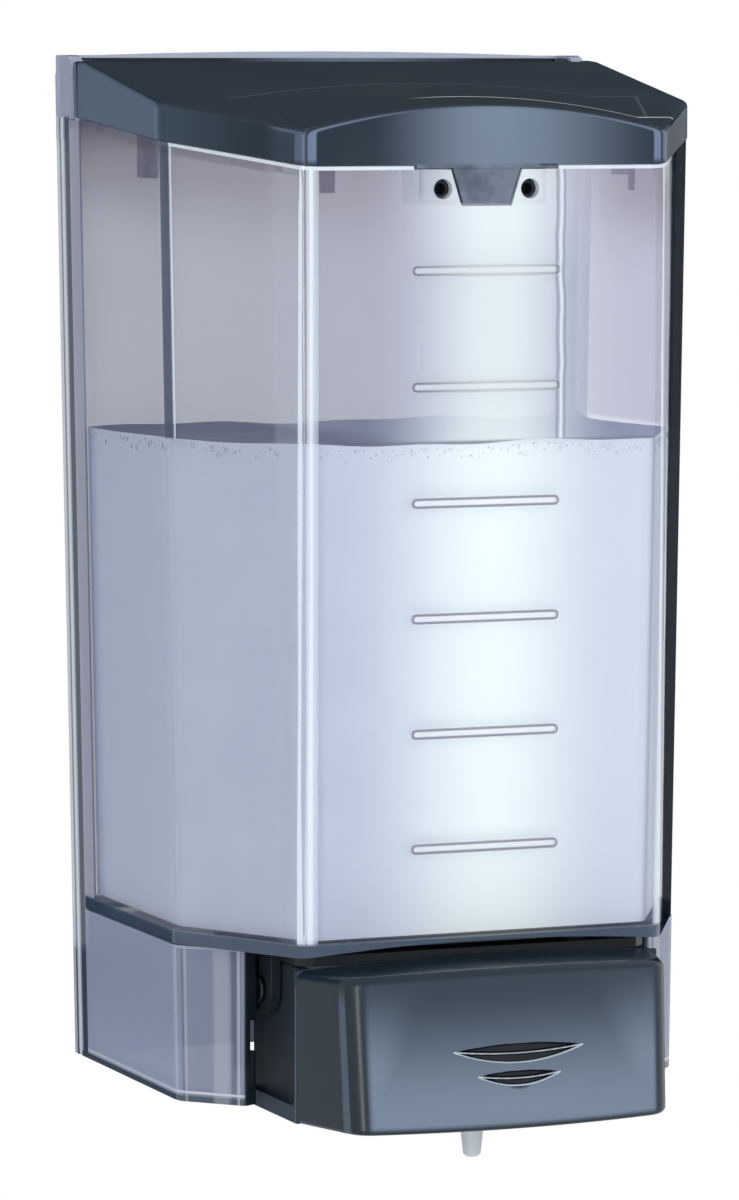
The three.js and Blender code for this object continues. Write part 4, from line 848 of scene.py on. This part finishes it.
def seen_ray(tree):
    """1 for camera, glossy and transmission rays, 0 for the rays that light a surface."""
    path = tree.nodes.new("ShaderNodeLightPath")
    total = None
    for label in ("Is Camera Ray", "Is Glossy Ray", "Is Transmission Ray"):
        if total is None:
            total = path.outputs[label]
            continue
        most = tree.nodes.new("ShaderNodeMath")
        most.operation = "MAXIMUM"
        tree.links.new(total, most.inputs[0])
        tree.links.new(path.outputs[label], most.inputs[1])
        total = most.outputs[0]
    return total


def white_world(fill):
    """White where it is seen or mirrored, and softer where it lights the object."""
    world = bpy.data.worlds.new("studio")
    bpy.context.scene.world = world
    world.use_nodes = True
    tree = world.node_tree
    spread = tree.nodes.new("ShaderNodeMapRange")
    spread.inputs["To Min"].default_value = fill
    spread.inputs["To Max"].default_value = 1.0
    tree.links.new(seen_ray(tree), spread.inputs["Value"])
    ground = tree.nodes["Background"]
    ground.inputs["Color"].default_value = (1.0, 1.0, 1.0, 1.0)
    tree.links.new(spread.outputs[0], ground.inputs["Strength"])


def add_floor(drop):
    """Pale floor well under the dispenser, which keeps its soft shadow."""
    bpy.ops.mesh.primitive_plane_add(size=2.0, location=(0.0, 0.0, drop))
    floor = bpy.context.object
    floor.name = "floor"
    finish = Finish("floor_white", (0.88, 0.89, 0.9), 0.9)
    finish.paint((0.92, 0.93, 0.94), finish.noise(12.0, 2.0))
    glow = finish.node("ShaderNodeEmission", None, {"Strength": 1.0}).outputs[0]
    share = Value(finish, seen_ray(finish.tree)) * 0.8
    mixed = finish.node("ShaderNodeMixShader", None, {0: share, 1: finish.surface.outputs[0], 2: glow})
    finish.tree.links.new(mixed.outputs[0], finish.tree.nodes["Material Output"].inputs[0])
    floor.data.materials.append(finish.material)


def add_dark_card(name, place, width, height):
    """Card behind the dispenser, seen only in reflections, which keeps them dark."""
    bpy.ops.mesh.primitive_plane_add(size=1.0, location=place, rotation=(math.pi / 2, 0.0, 0.0))
    card = bpy.context.object
    card.name = name
    card.scale = (width, height, 1.0)
    finish = Finish("card_black", (0.0, 0.0, 0.0), 1.0, Specular_IOR_Level=0.0)
    card.data.materials.append(finish.material)
    card.visible_camera = False
    card.visible_diffuse = False
    card.visible_shadow = False
    card.visible_transmission = False


class DISPENSER_OT_add_stage(bpy.types.Operator):
    """Adds the camera, the studio light, the white surroundings and the floor"""

    bl_idname = "dispenser.add_stage"
    bl_label = "Stage"

    def execute(self, context):
        deselect_all()
        stage = context.scene.dispenser_stage
        context.scene.view_settings.view_transform = "Standard"
        white_world(stage.fill)
        add_floor(-stage.floor_drop)
        for name, card in dark_cards.items():
            add_dark_card(name, *card)
        key = add_panel_light("key_light", (0.5, -1.0, 0.35), 0.7, 0.9, stage.key_power)
        key.visible_glossy = False
        add_panel_light("strip_light", (-0.75, -0.85, 0.05), 0.1, 1.0, stage.strip_power)
        bpy.ops.object.camera_add(location=camera_place)
        camera = context.object
        camera.name = "camera"
        camera.rotation_euler = camera_angles
        camera.data.lens = stage.lens
        camera.data.clip_start = 0.05
        context.scene.camera = camera
        deselect_all()
        return {"FINISHED"}


# Pieces


class DISPENSER_OT_add_bracket(bpy.types.Operator):
    """Adds the wall bracket with its hinge lugs, flanges and skirts"""

    bl_idname = "dispenser.add_bracket"
    bl_label = "Wall bracket"

    def execute(self, context):
        refine("wall_bracket", "clear_bracket", 0.0005)
        return {"FINISHED"}


def add_level_bar(number, height):
    """One raised bar of the scale: a ball pulled out to a rounded bar and pressed flat on the wall."""
    deselect_all()
    place = (0.0, -wall_front(height) + bar_lift, height)
    bpy.ops.mesh.primitive_uv_sphere_add(
        segments=24, ring_count=16, radius=bar_radius, location=place, rotation=(0.0, math.pi / 2, 0.0)
    )
    piece = start_piece(f"level_bar_{number}")
    for side in (-1, 1):
        pick(piece, "VERT", lambda co: co.x * side > merge_distance)
        bpy.ops.transform.translate(value=(side * bar_straight, 0.0, 0.0))
    bpy.ops.mesh.select_all(action="SELECT")
    bpy.ops.transform.resize(value=(1.0, bar_flatness, 1.0), center_override=place)
    piece.visible_shadow = False
    return close_piece(piece, "housing", "level_mark")


class DISPENSER_OT_add_tank(bpy.types.Operator):
    """Adds the clear tank and the bars of its scale"""

    bl_idname = "dispenser.add_tank"
    bl_label = "Tank"

    def execute(self, context):
        refine("reservoir", "clear_tank", 0.0004)
        for number in range(bar_count):
            add_level_bar(number + 1, bar_first + number * bar_pitch)
        return {"FINISHED"}


def ripple(x, y):
    """Height of the liquid's surface over its level, with waves and a rise in the far right corner."""
    wave = 0.00035 * math.sin(x * 95.0 + y * 60.0) + 0.00025 * math.sin(x * 210.0 - y * 35.0 + 1.0)
    corner = math.hypot(x - soap_high.x, y - soap_high.y)
    return wave - 0.0006 + 0.0022 * math.exp(-((corner / 0.006) ** 2))


def soap_block():
    """The liquid's body: a block with its front corners cut off and rounded, wider at the top."""
    size = soap_high - soap_low
    middle = (soap_high + soap_low) / 2
    bpy.ops.mesh.primitive_cube_add(size=1.0, location=middle, scale=size)
    piece = start_piece("liquid_soap_finished")
    bend = Vector((soap_high.x, -bend_depth + soap_inset, middle.z))
    corner = Vector((soap_corner_half, soap_low.y, middle.z))
    for side in (-1, 1):
        along = Vector((side * (corner.x - bend.x), corner.y - bend.y, 0.0))
        normal = Vector((-side * along.y, side * along.x, 0.0)).normalized()
        normal = normal if normal.x * side > 0 else -normal
        bpy.ops.mesh.select_all(action="SELECT")
        bpy.ops.mesh.bisect(
            plane_co=(side * bend.x, bend.y, bend.z), plane_no=normal, use_fill=True, clear_outer=True
        )
    shrink = (wall_side(soap_low.z) - soap_inset) / (wall_side(soap_high.z) - soap_inset)
    pick(piece, "VERT", lambda co: co.z < middle.z)
    bpy.ops.transform.resize(value=(shrink, 1.0, 1.0), center_override=(0.0, 0.0, middle.z))
    pick(piece, "VERT", lambda co: co.z < middle.z and co.y < soap_low.y + 0.001)
    bpy.ops.transform.translate(value=(0.0, wall_front(soap_high.z) - wall_front(soap_low.z), 0.0))
    for reach, offset in ((0.002, 0.0022), (0.06, 0.0012)):
        pick(piece, "EDGE", lambda co, way: abs(way.z) > size.z * 0.9 and co.y < soap_low.y + reach)
        bpy.ops.mesh.bevel(offset=offset, segments=6, profile=0.5)
    bpy.ops.object.mode_set(mode="OBJECT")
    return piece


def ripple_surface(piece):
    """Cuts the block's top into a fine grid and moves it into waves."""
    bpy.ops.object.mode_set(mode="EDIT")
    across_cuts = ((1.0, 0.0, 0.0), soap_low.x, soap_high.x, 56)
    depth_cuts = ((0.0, 1.0, 0.0), soap_low.y, soap_high.y, 42)
    for normal, start, end, count in (across_cuts, depth_cuts):
        for step in range(1, count):
            place = start + (end - start) * step / count
            pick(piece, "FACE", lambda co, way: way.z > 0.9)
            bpy.ops.mesh.bisect(plane_co=[place * share for share in normal], plane_no=normal)
    shape = bmesh.from_edit_mesh(piece.data)
    for vertex in shape.verts:
        if vertex.co.z > liquid_level - merge_distance:
            vertex.co.z += ripple(vertex.co.x, vertex.co.y)
    bmesh.update_edit_mesh(piece.data)
    bpy.ops.object.mode_set(mode="OBJECT")


def add_froth():
    """Rows of flat bubbles along the liquid's edge, behind the tank's front, chamfers and sides."""
    chance = random.Random(11)
    deselect_all()
    front = -wall_front(liquid_level) + soap_inset
    bend = Vector((wall_side(liquid_level) - soap_inset, -bend_depth + soap_inset, 0.0))
    corner = Vector((soap_corner_half, front, 0.0))
    runs = [(Vector((-corner.x + 0.003, front, 0.0)), Vector((corner.x - 0.003, front, 0.0)), 60)]
    for side in (-1, 1):
        start = Vector((side * (corner.x + 0.002), front + 0.004, 0.0))
        runs.append((start, Vector((side * (bend.x - 0.001), bend.y - 0.003, 0.0)), 24))
    for side in (-1, 1):
        start = Vector((side * bend.x, bend.y + 0.002, 0.0))
        runs.append((start, Vector((side * bend.x, soap_high.y - 0.002, 0.0)), 34))
    piece = None
    for start, end, count in runs:
        way = (end - start).normalized()
        out = Vector((way.y, -way.x, 0.0))
        out = out if out.dot(start) > 0 else -out
        for step in range(count):
            share = (step + chance.random()) / count
            radius = 0.0002 + 0.0006 * chance.random() ** 2.0
            drop = 0.0007 + radius + 0.0022 * chance.random() ** 1.5
            place = start.lerp(end, share)
            place.z = liquid_level + ripple(place.x, place.y) - drop
            turned = out.to_track_quat("Z", "Y").to_euler()
            flat = (1.0, 1.0, min(0.00022 / radius, 1.0))
            bpy.ops.mesh.primitive_uv_sphere_add(
                segments=10, ring_count=6, radius=radius, location=place, rotation=turned, scale=flat
            )
            if piece is None:
                piece = start_piece("soap_froth")
    return close_piece(piece, "housing", "froth")


class DISPENSER_OT_add_soap(bpy.types.Operator):
    """Adds the liquid with its rippled surface, and the froth along its edge"""

    bl_idname = "dispenser.add_soap"
    bl_label = "Liquid soap"

    def execute(self, context):
        deselect_all()
        piece = soap_block()
        ripple_surface(piece)
        close_piece(piece, "housing", "white_liquid", ("liquid_soap",))
        add_froth()
        return {"FINISHED"}


def lid_top(x, depth):
    """Height of the lid's top, which slopes down from the crease to the arched front edge."""
    share = min(abs(x) / corner_half, 1.0)
    front_edge = arch_centre - arch_rise * share * share
    slope = (crease_height - front_edge) / (wall_front(edge_front) - crease_depth)
    rear_slope = (crease_height - lid_rear_height) / (crease_depth - lid_back)
    if depth < crease_depth:
        return crease_height - rear_slope * (crease_depth - depth)
    return crease_height - slope * (depth - crease_depth)


def arc(before, corner, after, radius, steps):
    """Points of a rounded corner between two straight runs."""
    back = (before - corner).normalized()
    ahead = (after - corner).normalized()
    half = back.angle(ahead) / 2
    reach = radius / math.tan(half)
    centre = corner + (back + ahead).normalized() * radius / math.sin(half)
    start = corner + back * reach - centre
    end = corner + ahead * reach - centre
    return [centre + start.slerp(end, step / steps) * radius for step in range(steps + 1)]


def lid_path():
    """The lid's plan from its left rear corner round the front to its right rear corner."""
    half = wall_side(edge_bend) + lid_proud
    front = -wall_front(edge_front) - lid_proud
    start = Vector((-half, -lid_back - lid_wall))
    bend = Vector((-half, -bend_depth))
    corner = Vector((-corner_half, front))
    far = Vector((corner_half, front))
    left = [start.lerp(bend, step / 14) for step in range(14)]
    left = [point for point in left if point.y > bend.y + 0.003]
    left += arc(start, bend, corner, 0.007, 8)
    rounded = arc(bend, corner, far, 0.006, 10)
    left += [left[-1].lerp(rounded[0], step / 6) for step in range(1, 6)] + rounded
    middle = [Vector((left[-1].x * (1 - step / 24), front)) for step in range(1, 25)]
    half_path = left + middle
    return half_path + [Vector((-point.x, point.y)) for point in reversed(half_path[:-1])]


def lid_shell():
    """The lid's walls and sloping top, wrapped from its lower edge up and back to its rear wall."""
    path = lid_path()
    walls, rounds, tops = 4, 6, 14
    rear = -lid_back - lid_wall

    def place(column, row):
        point = path[column]
        out = across(path, column)
        low = min(rim_heights(-point.y)) + wall_gap
        high = lid_top(point.x, -point.y)
        if row < walls:
            return (point.x, point.y, low + (high - lid_round - low) * row / walls)
        if row <= walls + rounds:
            angle = math.pi / 2 * (row - walls) / rounds
            inner = point + out * lid_round * (1 - math.cos(angle))
            inner.y = min(inner.y, rear)
            top = lid_top(inner.x, -inner.y)
            height = top if row == walls + rounds else high - lid_round * (1 - math.sin(angle))
            return (inner.x, inner.y, min(height, top))
        inner = point + out * lid_round
        inner.y = min(inner.y, rear)
        share = (row - walls - rounds) / tops
        spot = Vector((inner.x, inner.y)).lerp(Vector((inner.x * 0.96, rear)), share)
        return (spot.x, spot.y, lid_top(spot.x, -spot.y))

    piece = wrap_grid("lid_shell", len(path), walls + rounds + tops + 1, place)
    thicken(piece, lid_wall)
    return close_piece(piece, "cover", "gloss_dark", smooth=math.radians(28))


def lid_hinge():
    """The lid's rear wall and hinge ears, from the node's own mesh, cut off behind the new shell."""
    piece = merged_copy("lid", "lid_hinge_finished", 0.0004)
    bpy.ops.object.mode_set(mode="EDIT")
    cut_away((0.0, -lid_back - lid_wall, 0.0), (0.0, -1.0, 0.0))
    return close_piece(piece, "cover", "gloss_dark", ("lid",), outward=False)


def lid_tab():
    """The latch tab and its lip, from the node's own mesh, cut off under the new shell."""
    piece = merged_copy("lid", "lid_tab_finished", 0.0003)
    bpy.ops.object.mode_set(mode="EDIT")
    cut_away((0.0, 0.0, edge_front + 0.0004), (0.0, 0.0, 1.0))
    for side in (1, -1):
        cut_away((side * latch_tab_half, 0.0, 0.0), (side, 0.0, 0.0))
    return close_piece(piece, "cover", "tab_dark", outward=False)


def hung_block(name, low, high, taper, edge_top, segments):
    """A block between two corners, narrower at its foot, with rounded edges up to near its top."""
    middle = (low + high) / 2
    deselect_all()
    bpy.ops.mesh.primitive_cube_add(size=1.0, location=middle, scale=high - low)
    piece = start_piece(name)
    pick(piece, "FACE", lambda co, way: way.z < -0.9)
    bpy.ops.transform.resize(value=(*taper, 1.0), center_override=(middle.x, middle.y, low.z))
    pick(piece, "EDGE", lambda co, way: co.z < high.z - edge_top)
    bpy.ops.mesh.bevel(offset=0.0003, segments=segments)
    return piece


# Each guide under the lid: its widths, its depths, its foot over the skirts' foot, and its finish
LID_GUIDES = (
    ((-0.0408, -0.0364), (0.1041, 0.1056), 0.2188, "gloss_dark"),
    ((0.0392, 0.0408), (0.1041, 0.1056), 0.2188, "gloss_dark"),
    ((-0.0639, -0.0624), (0.043, 0.056), 0.2215, "guide_grey"),
    ((0.0624, 0.0639), (0.043, 0.056), 0.2215, "guide_grey"),
)


def add_guide(number, widths, depths, foot, material):
    """One guide that hangs from the lid."""
    low = Vector((widths[0], -depths[1], skirt_foot + foot))
    high = Vector((widths[1], -depths[0], lid_top(max(map(abs, widths)), depths[1]) - 0.001))
    piece = hung_block(f"lid_guide_{number}", low, high, (0.82, 0.94), 0.0005, 2)
    return close_piece(piece, "cover", material)


class DISPENSER_OT_add_lid(bpy.types.Operator):
    """Adds the dark lid with its arched front, hinge ears, latch tab and guides"""

    bl_idname = "dispenser.add_lid"
    bl_label = "Lid"

    def execute(self, context):
        lid_hinge()
        lid_shell()
        lid_tab()
        for number, guide in enumerate(LID_GUIDES):
            add_guide(number + 1, *guide)
        return {"FINISHED"}


class DISPENSER_OT_add_latch(bpy.types.Operator):
    """Adds the lock bar behind the latch tab"""

    bl_idname = "dispenser.add_latch"
    bl_label = "Latch"

    def execute(self, context):
        refine("lock_bar", "satin_dark", 0.0002)
        return {"FINISHED"}


def add_chassis_tab(name, side):
    """A thin tab beside the push cover, which hangs from the chassis and narrows to a rounded foot."""
    left, right = sorted((side * 0.0483, side * 0.0524))
    low = Vector((left, -0.0795, skirt_foot + 0.0075))
    high = Vector((right, -0.078, skirt_foot + 0.0375))
    piece = hung_block(name, low, high, (0.94, 0.8), 0.001, 3)
    return close_piece(piece, "housing", "tab_grey")


class DISPENSER_OT_add_chassis(bpy.types.Operator):
    """Adds the frame under the tank, its side tabs and its four screws"""

    bl_idname = "dispenser.add_chassis"
    bl_label = "Pump chassis"

    def execute(self, context):
        refine("pump_chassis", "satin_dark", 0.0004)
        add_chassis_tab("chassis_tab_left", -1)
        add_chassis_tab("chassis_tab_right", 1)
        for number in range(4):
            refine(f"chassis_screw_{number + 1}", "bright_steel", 0.0002)
        return {"FINISHED"}


def face_plan(share):
    """Points across the push cover's front at a share of its height, with softened corners."""
    corner = face_corner_half + face_corner_gain * share
    depth = face_corner_depth - face_lean * share
    side_steps = 70
    front_steps = 330
    bend = Vector((cheek_half, -cheek_bend))
    right = [bend.lerp(Vector((corner, -depth)), step / side_steps) for step in range(side_steps)]
    points = [Vector((-point.x, point.y)) for point in right]
    for step in range(front_steps + 1):
        part = 2 * step / front_steps - 1
        points.append(Vector((corner * part, -depth - face_bow * (1 - part * part))))
    points += reversed(right)
    reach = round(face_soft / face_pitch)
    softened = []
    for k in range(len(points)):
        span = min(reach, k, len(points) - 1 - k)
        near = points[k - span:k + span + 1]
        softened.append(sum(near, Vector((0.0, 0.0))) / len(near))
    return softened


def crescent(x, z, middle, half, rise, drop):
    """How far a crescent grip is sunk at a place, as a share, with a thin ridge along its middle."""
    part = x / half
    if abs(part) >= 1:
        return 0.0
    bulge = 1 - part * part
    top = middle + rise * bulge
    bottom = middle - drop * bulge
    inside = min(top - z, z - bottom)
    if inside <= 0:
        return 0.0
    ridge = abs(z - (top + bottom) / 2)
    return min(inside / 0.0004, 1.0) * min(0.1 + max(ridge - 0.0001, 0.0) / 0.0004, 1.0)


def face_sink(x, z):
    """Depth of the grips and of the shallow dish for the thumb at a place on the front."""
    height = z - skirt_foot
    sunk = max(crescent(x, height, *grip) for grip in grips)
    dish = max(1 - (x / dish_half) ** 2 - ((height - dish_middle) / dish_tall) ** 2, 0.0)
    return 0.001 * sunk + 0.0005 * dish ** 0.7


def face_rows():
    """Rows up the push cover's front: rise above its base, draw-in from its front, share of the roof."""
    low_round = 0.0014
    top_round = 0.0024
    tall = cover_top - cover_base
    rows = []
    for step in range(5):
        angle = math.pi / 2 * step / 5
        rows.append((low_round * (1 - math.cos(angle)), low_round * (1 - math.sin(angle)), 0.0))
    height = low_round
    while height < tall - top_round:
        rows.append((height, 0.0, 0.0))
        height += 0.0002 if close_rows[0] < height + cover_base - skirt_foot < close_rows[1] else 0.0011
    for step in range(9):
        angle = math.pi / 2 * step / 8
        rows.append((tall - top_round * (1 - math.sin(angle)), top_round * (1 - math.cos(angle)), 0.0))
    return rows + [(tall, top_round, (step + 1) / 6) for step in range(6)]


def face_shell():
    """The push cover's front and roof: a grid wrapped round the front, given its wall."""
    rows = face_rows()
    tall = cover_top - cover_base
    plans = [face_plan(rise / tall) for rise, _, _ in rows]
    last = len(plans[0]) - 1
    fine = range(fine_margin + 1, last - fine_margin + 1)
    picks = [k for k in range(last) if k % (fine_step if k in fine else coarse_step) == 0] + [last]

    def place(column, row):
        rise, draw, roof = rows[row]
        plan = plans[row]
        spot = plan[picks[column]] + across(plan, picks[column]) * draw
        spot.y = min(spot.y, -roof_back)
        spot.y += (-roof_back - spot.y) * roof
        arch = cover_arch * (1 - (spot.x / cheek_half) ** 2) * (rise / tall) ** 2
        height = cover_base + rise + arch
        sink = 0.0 if draw else face_sink(spot.x, height)
        return (spot.x, spot.y + sink, height)

    piece = wrap_grid("push_cover_front", len(picks), len(rows), place)
    thicken(piece, face_wall)
    return close_piece(piece, "lever", "cover_gloss", smooth=math.radians(60))


def cover_cheeks():
    """The push cover's cheeks, from the node's own mesh, cut off where the new front begins."""
    piece = merged_copy("push_cover", "push_cover_finished", 0.0003)
    bpy.ops.object.mode_set(mode="EDIT")
    cut_away((0.0, -cheek_bend + 0.0001, 0.0), (0.0, -1.0, 0.0))
    return close_piece(piece, "lever", "grip_dark", ("push_cover",), outward=False)


class DISPENSER_OT_add_push_cover(bpy.types.Operator):
    """Adds the push cover and the two pins that it turns on"""

    bl_idname = "dispenser.add_push_cover"
    bl_label = "Push cover"

    def execute(self, context):
        cover_cheeks()
        face_shell()
        for side in ("left", "right"):
            refine(f"lever_pin_{side}", "black_steel", 0.0003)
        return {"FINISHED"}


class DISPENSER_OT_add_pump(bpy.types.Operator):
    """Adds the pump: cylinder, nuts, seals, plunger, elbow and valves"""

    bl_idname = "dispenser.add_pump"
    bl_label = "Pump"

    def execute(self, context):
        for node in ("pump_body", "coupling_nut", "inlet_seat", "pump_gland", "plunger", "outlet_elbow"):
            refine(node, "natural_plastic", 0.00025)
        for node in ("inlet_gasket", "gland_seal", "plunger_seal"):
            refine(node, "black_rubber", 0.0002)
        for node in ("inlet_ball", "outlet_ball"):
            refine(node, "bright_steel", 0.0)
        return {"FINISHED"}


# Each spring: its joint, the way it lies, its fixed end, and the share of its length to keep
SPRINGS = (
    ("lock_spring", "lock_slide", (0.0, 1.0, 0.0), (0.0, -0.099, 0.0), 0.5),
    ("return_spring", "plunger_slide", (0.0, 1.0, 0.0), (0.0, -0.0547, 0.0), 0.61),
    ("inlet_spring", "inlet_ball_slide", (0.0, 0.0, 1.0), (0.0, 0.0, -0.1085), 0.57),
    ("outlet_spring", "outlet_ball_slide", (0.0, 0.0, 1.0), (0.0, 0.0, -0.1255), 0.64),
)


class DISPENSER_OT_add_springs(bpy.types.Operator):
    """Adds the four springs"""

    bl_idname = "dispenser.add_springs"
    bl_label = "Springs"

    def execute(self, context):
        for node, joint, way, anchor, keep in SPRINGS:
            piece = refine(node, "bright_steel", 0.0)
            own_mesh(piece)
        return {"FINISHED"}


class DISPENSER_OT_add_nozzle(bpy.types.Operator):
    """Adds the milky nozzle under the push cover"""

    bl_idname = "dispenser.add_nozzle"
    bl_label = "Nozzle"

    def execute(self, context):
        refine("nozzle", "milky_plastic", 0.0003)
        return {"FINISHED"}


# Settings and panel


def colour_setting(name, description, default):
    return bpy.props.FloatVectorProperty(
        name=name, description=description, default=default, subtype="COLOR", size=3, min=0.0, max=1.0
    )


def number_setting(name, description, default, unit="NONE", low=0.0, high=1000.0):
    return bpy.props.FloatProperty(
        name=name, description=description, default=default, unit=unit, min=low, max=high
    )


class DispenserColours(bpy.types.PropertyGroup):
    clear_plastic: colour_setting("Clear plastic", "Colour of the tank's plastic", (0.43, 0.47, 0.7))
    bracket_plastic: colour_setting("Bracket plastic", "Colour of the bracket's plastic", (0.42, 0.5, 0.7))
    # The soap's colour in its painted glow down the middle of the front, and in painted shade towards its
    # sides
    soap: colour_setting("Soap", "Colour of the soap in the middle of the front", (0.83, 0.91, 0.94))
    soap_shade: colour_setting("Soap shade", "Colour of the soap towards the sides", (0.54, 0.6, 0.71))
    dark_plastic: colour_setting("Dark plastic", "Colour of the lid and push cover", (0.008, 0.021, 0.035))
    steel: colour_setting("Steel", "Colour of the screws, pins, balls and springs", (0.6, 0.61, 0.63))
    pump_plastic: colour_setting("Pump plastic", "Colour of the pump's parts", (0.64, 0.64, 0.61))
    nozzle: colour_setting("Nozzle", "Colour of the nozzle", (0.72, 0.77, 0.82))


class DispenserStage(bpy.types.PropertyGroup):
    lens: number_setting("Lens", "Focal length of the camera", 173.4, "CAMERA", 20.0)
    floor_drop: number_setting("Floor drop", "How far the floor is below the middle", 0.45, "LENGTH", 0.15)
    fill: number_setting("Fill", "Strength of the surrounding light", 0.45, high=1.0)
    key_power: number_setting("Key light", "Power of the large front light", 6.0, "POWER")
    strip_power: number_setting("Strip light", "Power of the narrow side light", 4.0, "POWER")


PIECES = (
    DISPENSER_OT_add_stage,
    DISPENSER_OT_add_bracket,
    DISPENSER_OT_add_tank,
    DISPENSER_OT_add_soap,
    DISPENSER_OT_add_lid,
    DISPENSER_OT_add_latch,
    DISPENSER_OT_add_chassis,
    DISPENSER_OT_add_push_cover,
    DISPENSER_OT_add_pump,
    DISPENSER_OT_add_springs,
    DISPENSER_OT_add_nozzle,
)


class DISPENSER_PT_pieces(bpy.types.Panel):
    """Lists the pieces and their settings"""

    bl_idname = "DISPENSER_PT_pieces"
    bl_label = "Soap dispenser"
    bl_space_type = "VIEW_3D"
    bl_region_type = "UI"
    bl_category = "Dispenser"

    def draw(self, context):
        layout = self.layout
        for group in (context.scene.dispenser_stage, context.scene.dispenser_colours):
            for label in group.__annotations__:
                layout.prop(group, label)
        for piece in PIECES:
            layout.operator(piece.bl_idname)


CLASSES = (DispenserColours, DispenserStage, *PIECES, DISPENSER_PT_pieces)


def register():
    for each in CLASSES:
        bpy.utils.register_class(each)
    bpy.types.Scene.dispenser_colours = bpy.props.PointerProperty(type=DispenserColours)
    bpy.types.Scene.dispenser_stage = bpy.props.PointerProperty(type=DispenserStage)


def unregister():
    del bpy.types.Scene.dispenser_stage
    del bpy.types.Scene.dispenser_colours
    for each in reversed(CLASSES):
        bpy.utils.unregister_class(each)


def main():
    deselect_all()
    register()
    bpy.ops.dispenser.add_stage()
    bpy.ops.dispenser.add_bracket()
    bpy.ops.dispenser.add_tank()
    bpy.ops.dispenser.add_soap()
    bpy.ops.dispenser.add_lid()
    bpy.ops.dispenser.add_latch()
    bpy.ops.dispenser.add_chassis()
    bpy.ops.dispenser.add_push_cover()
    bpy.ops.dispenser.add_pump()
    bpy.ops.dispenser.add_springs()
    bpy.ops.dispenser.add_nozzle()


if __name__ == "__main__":
    main()
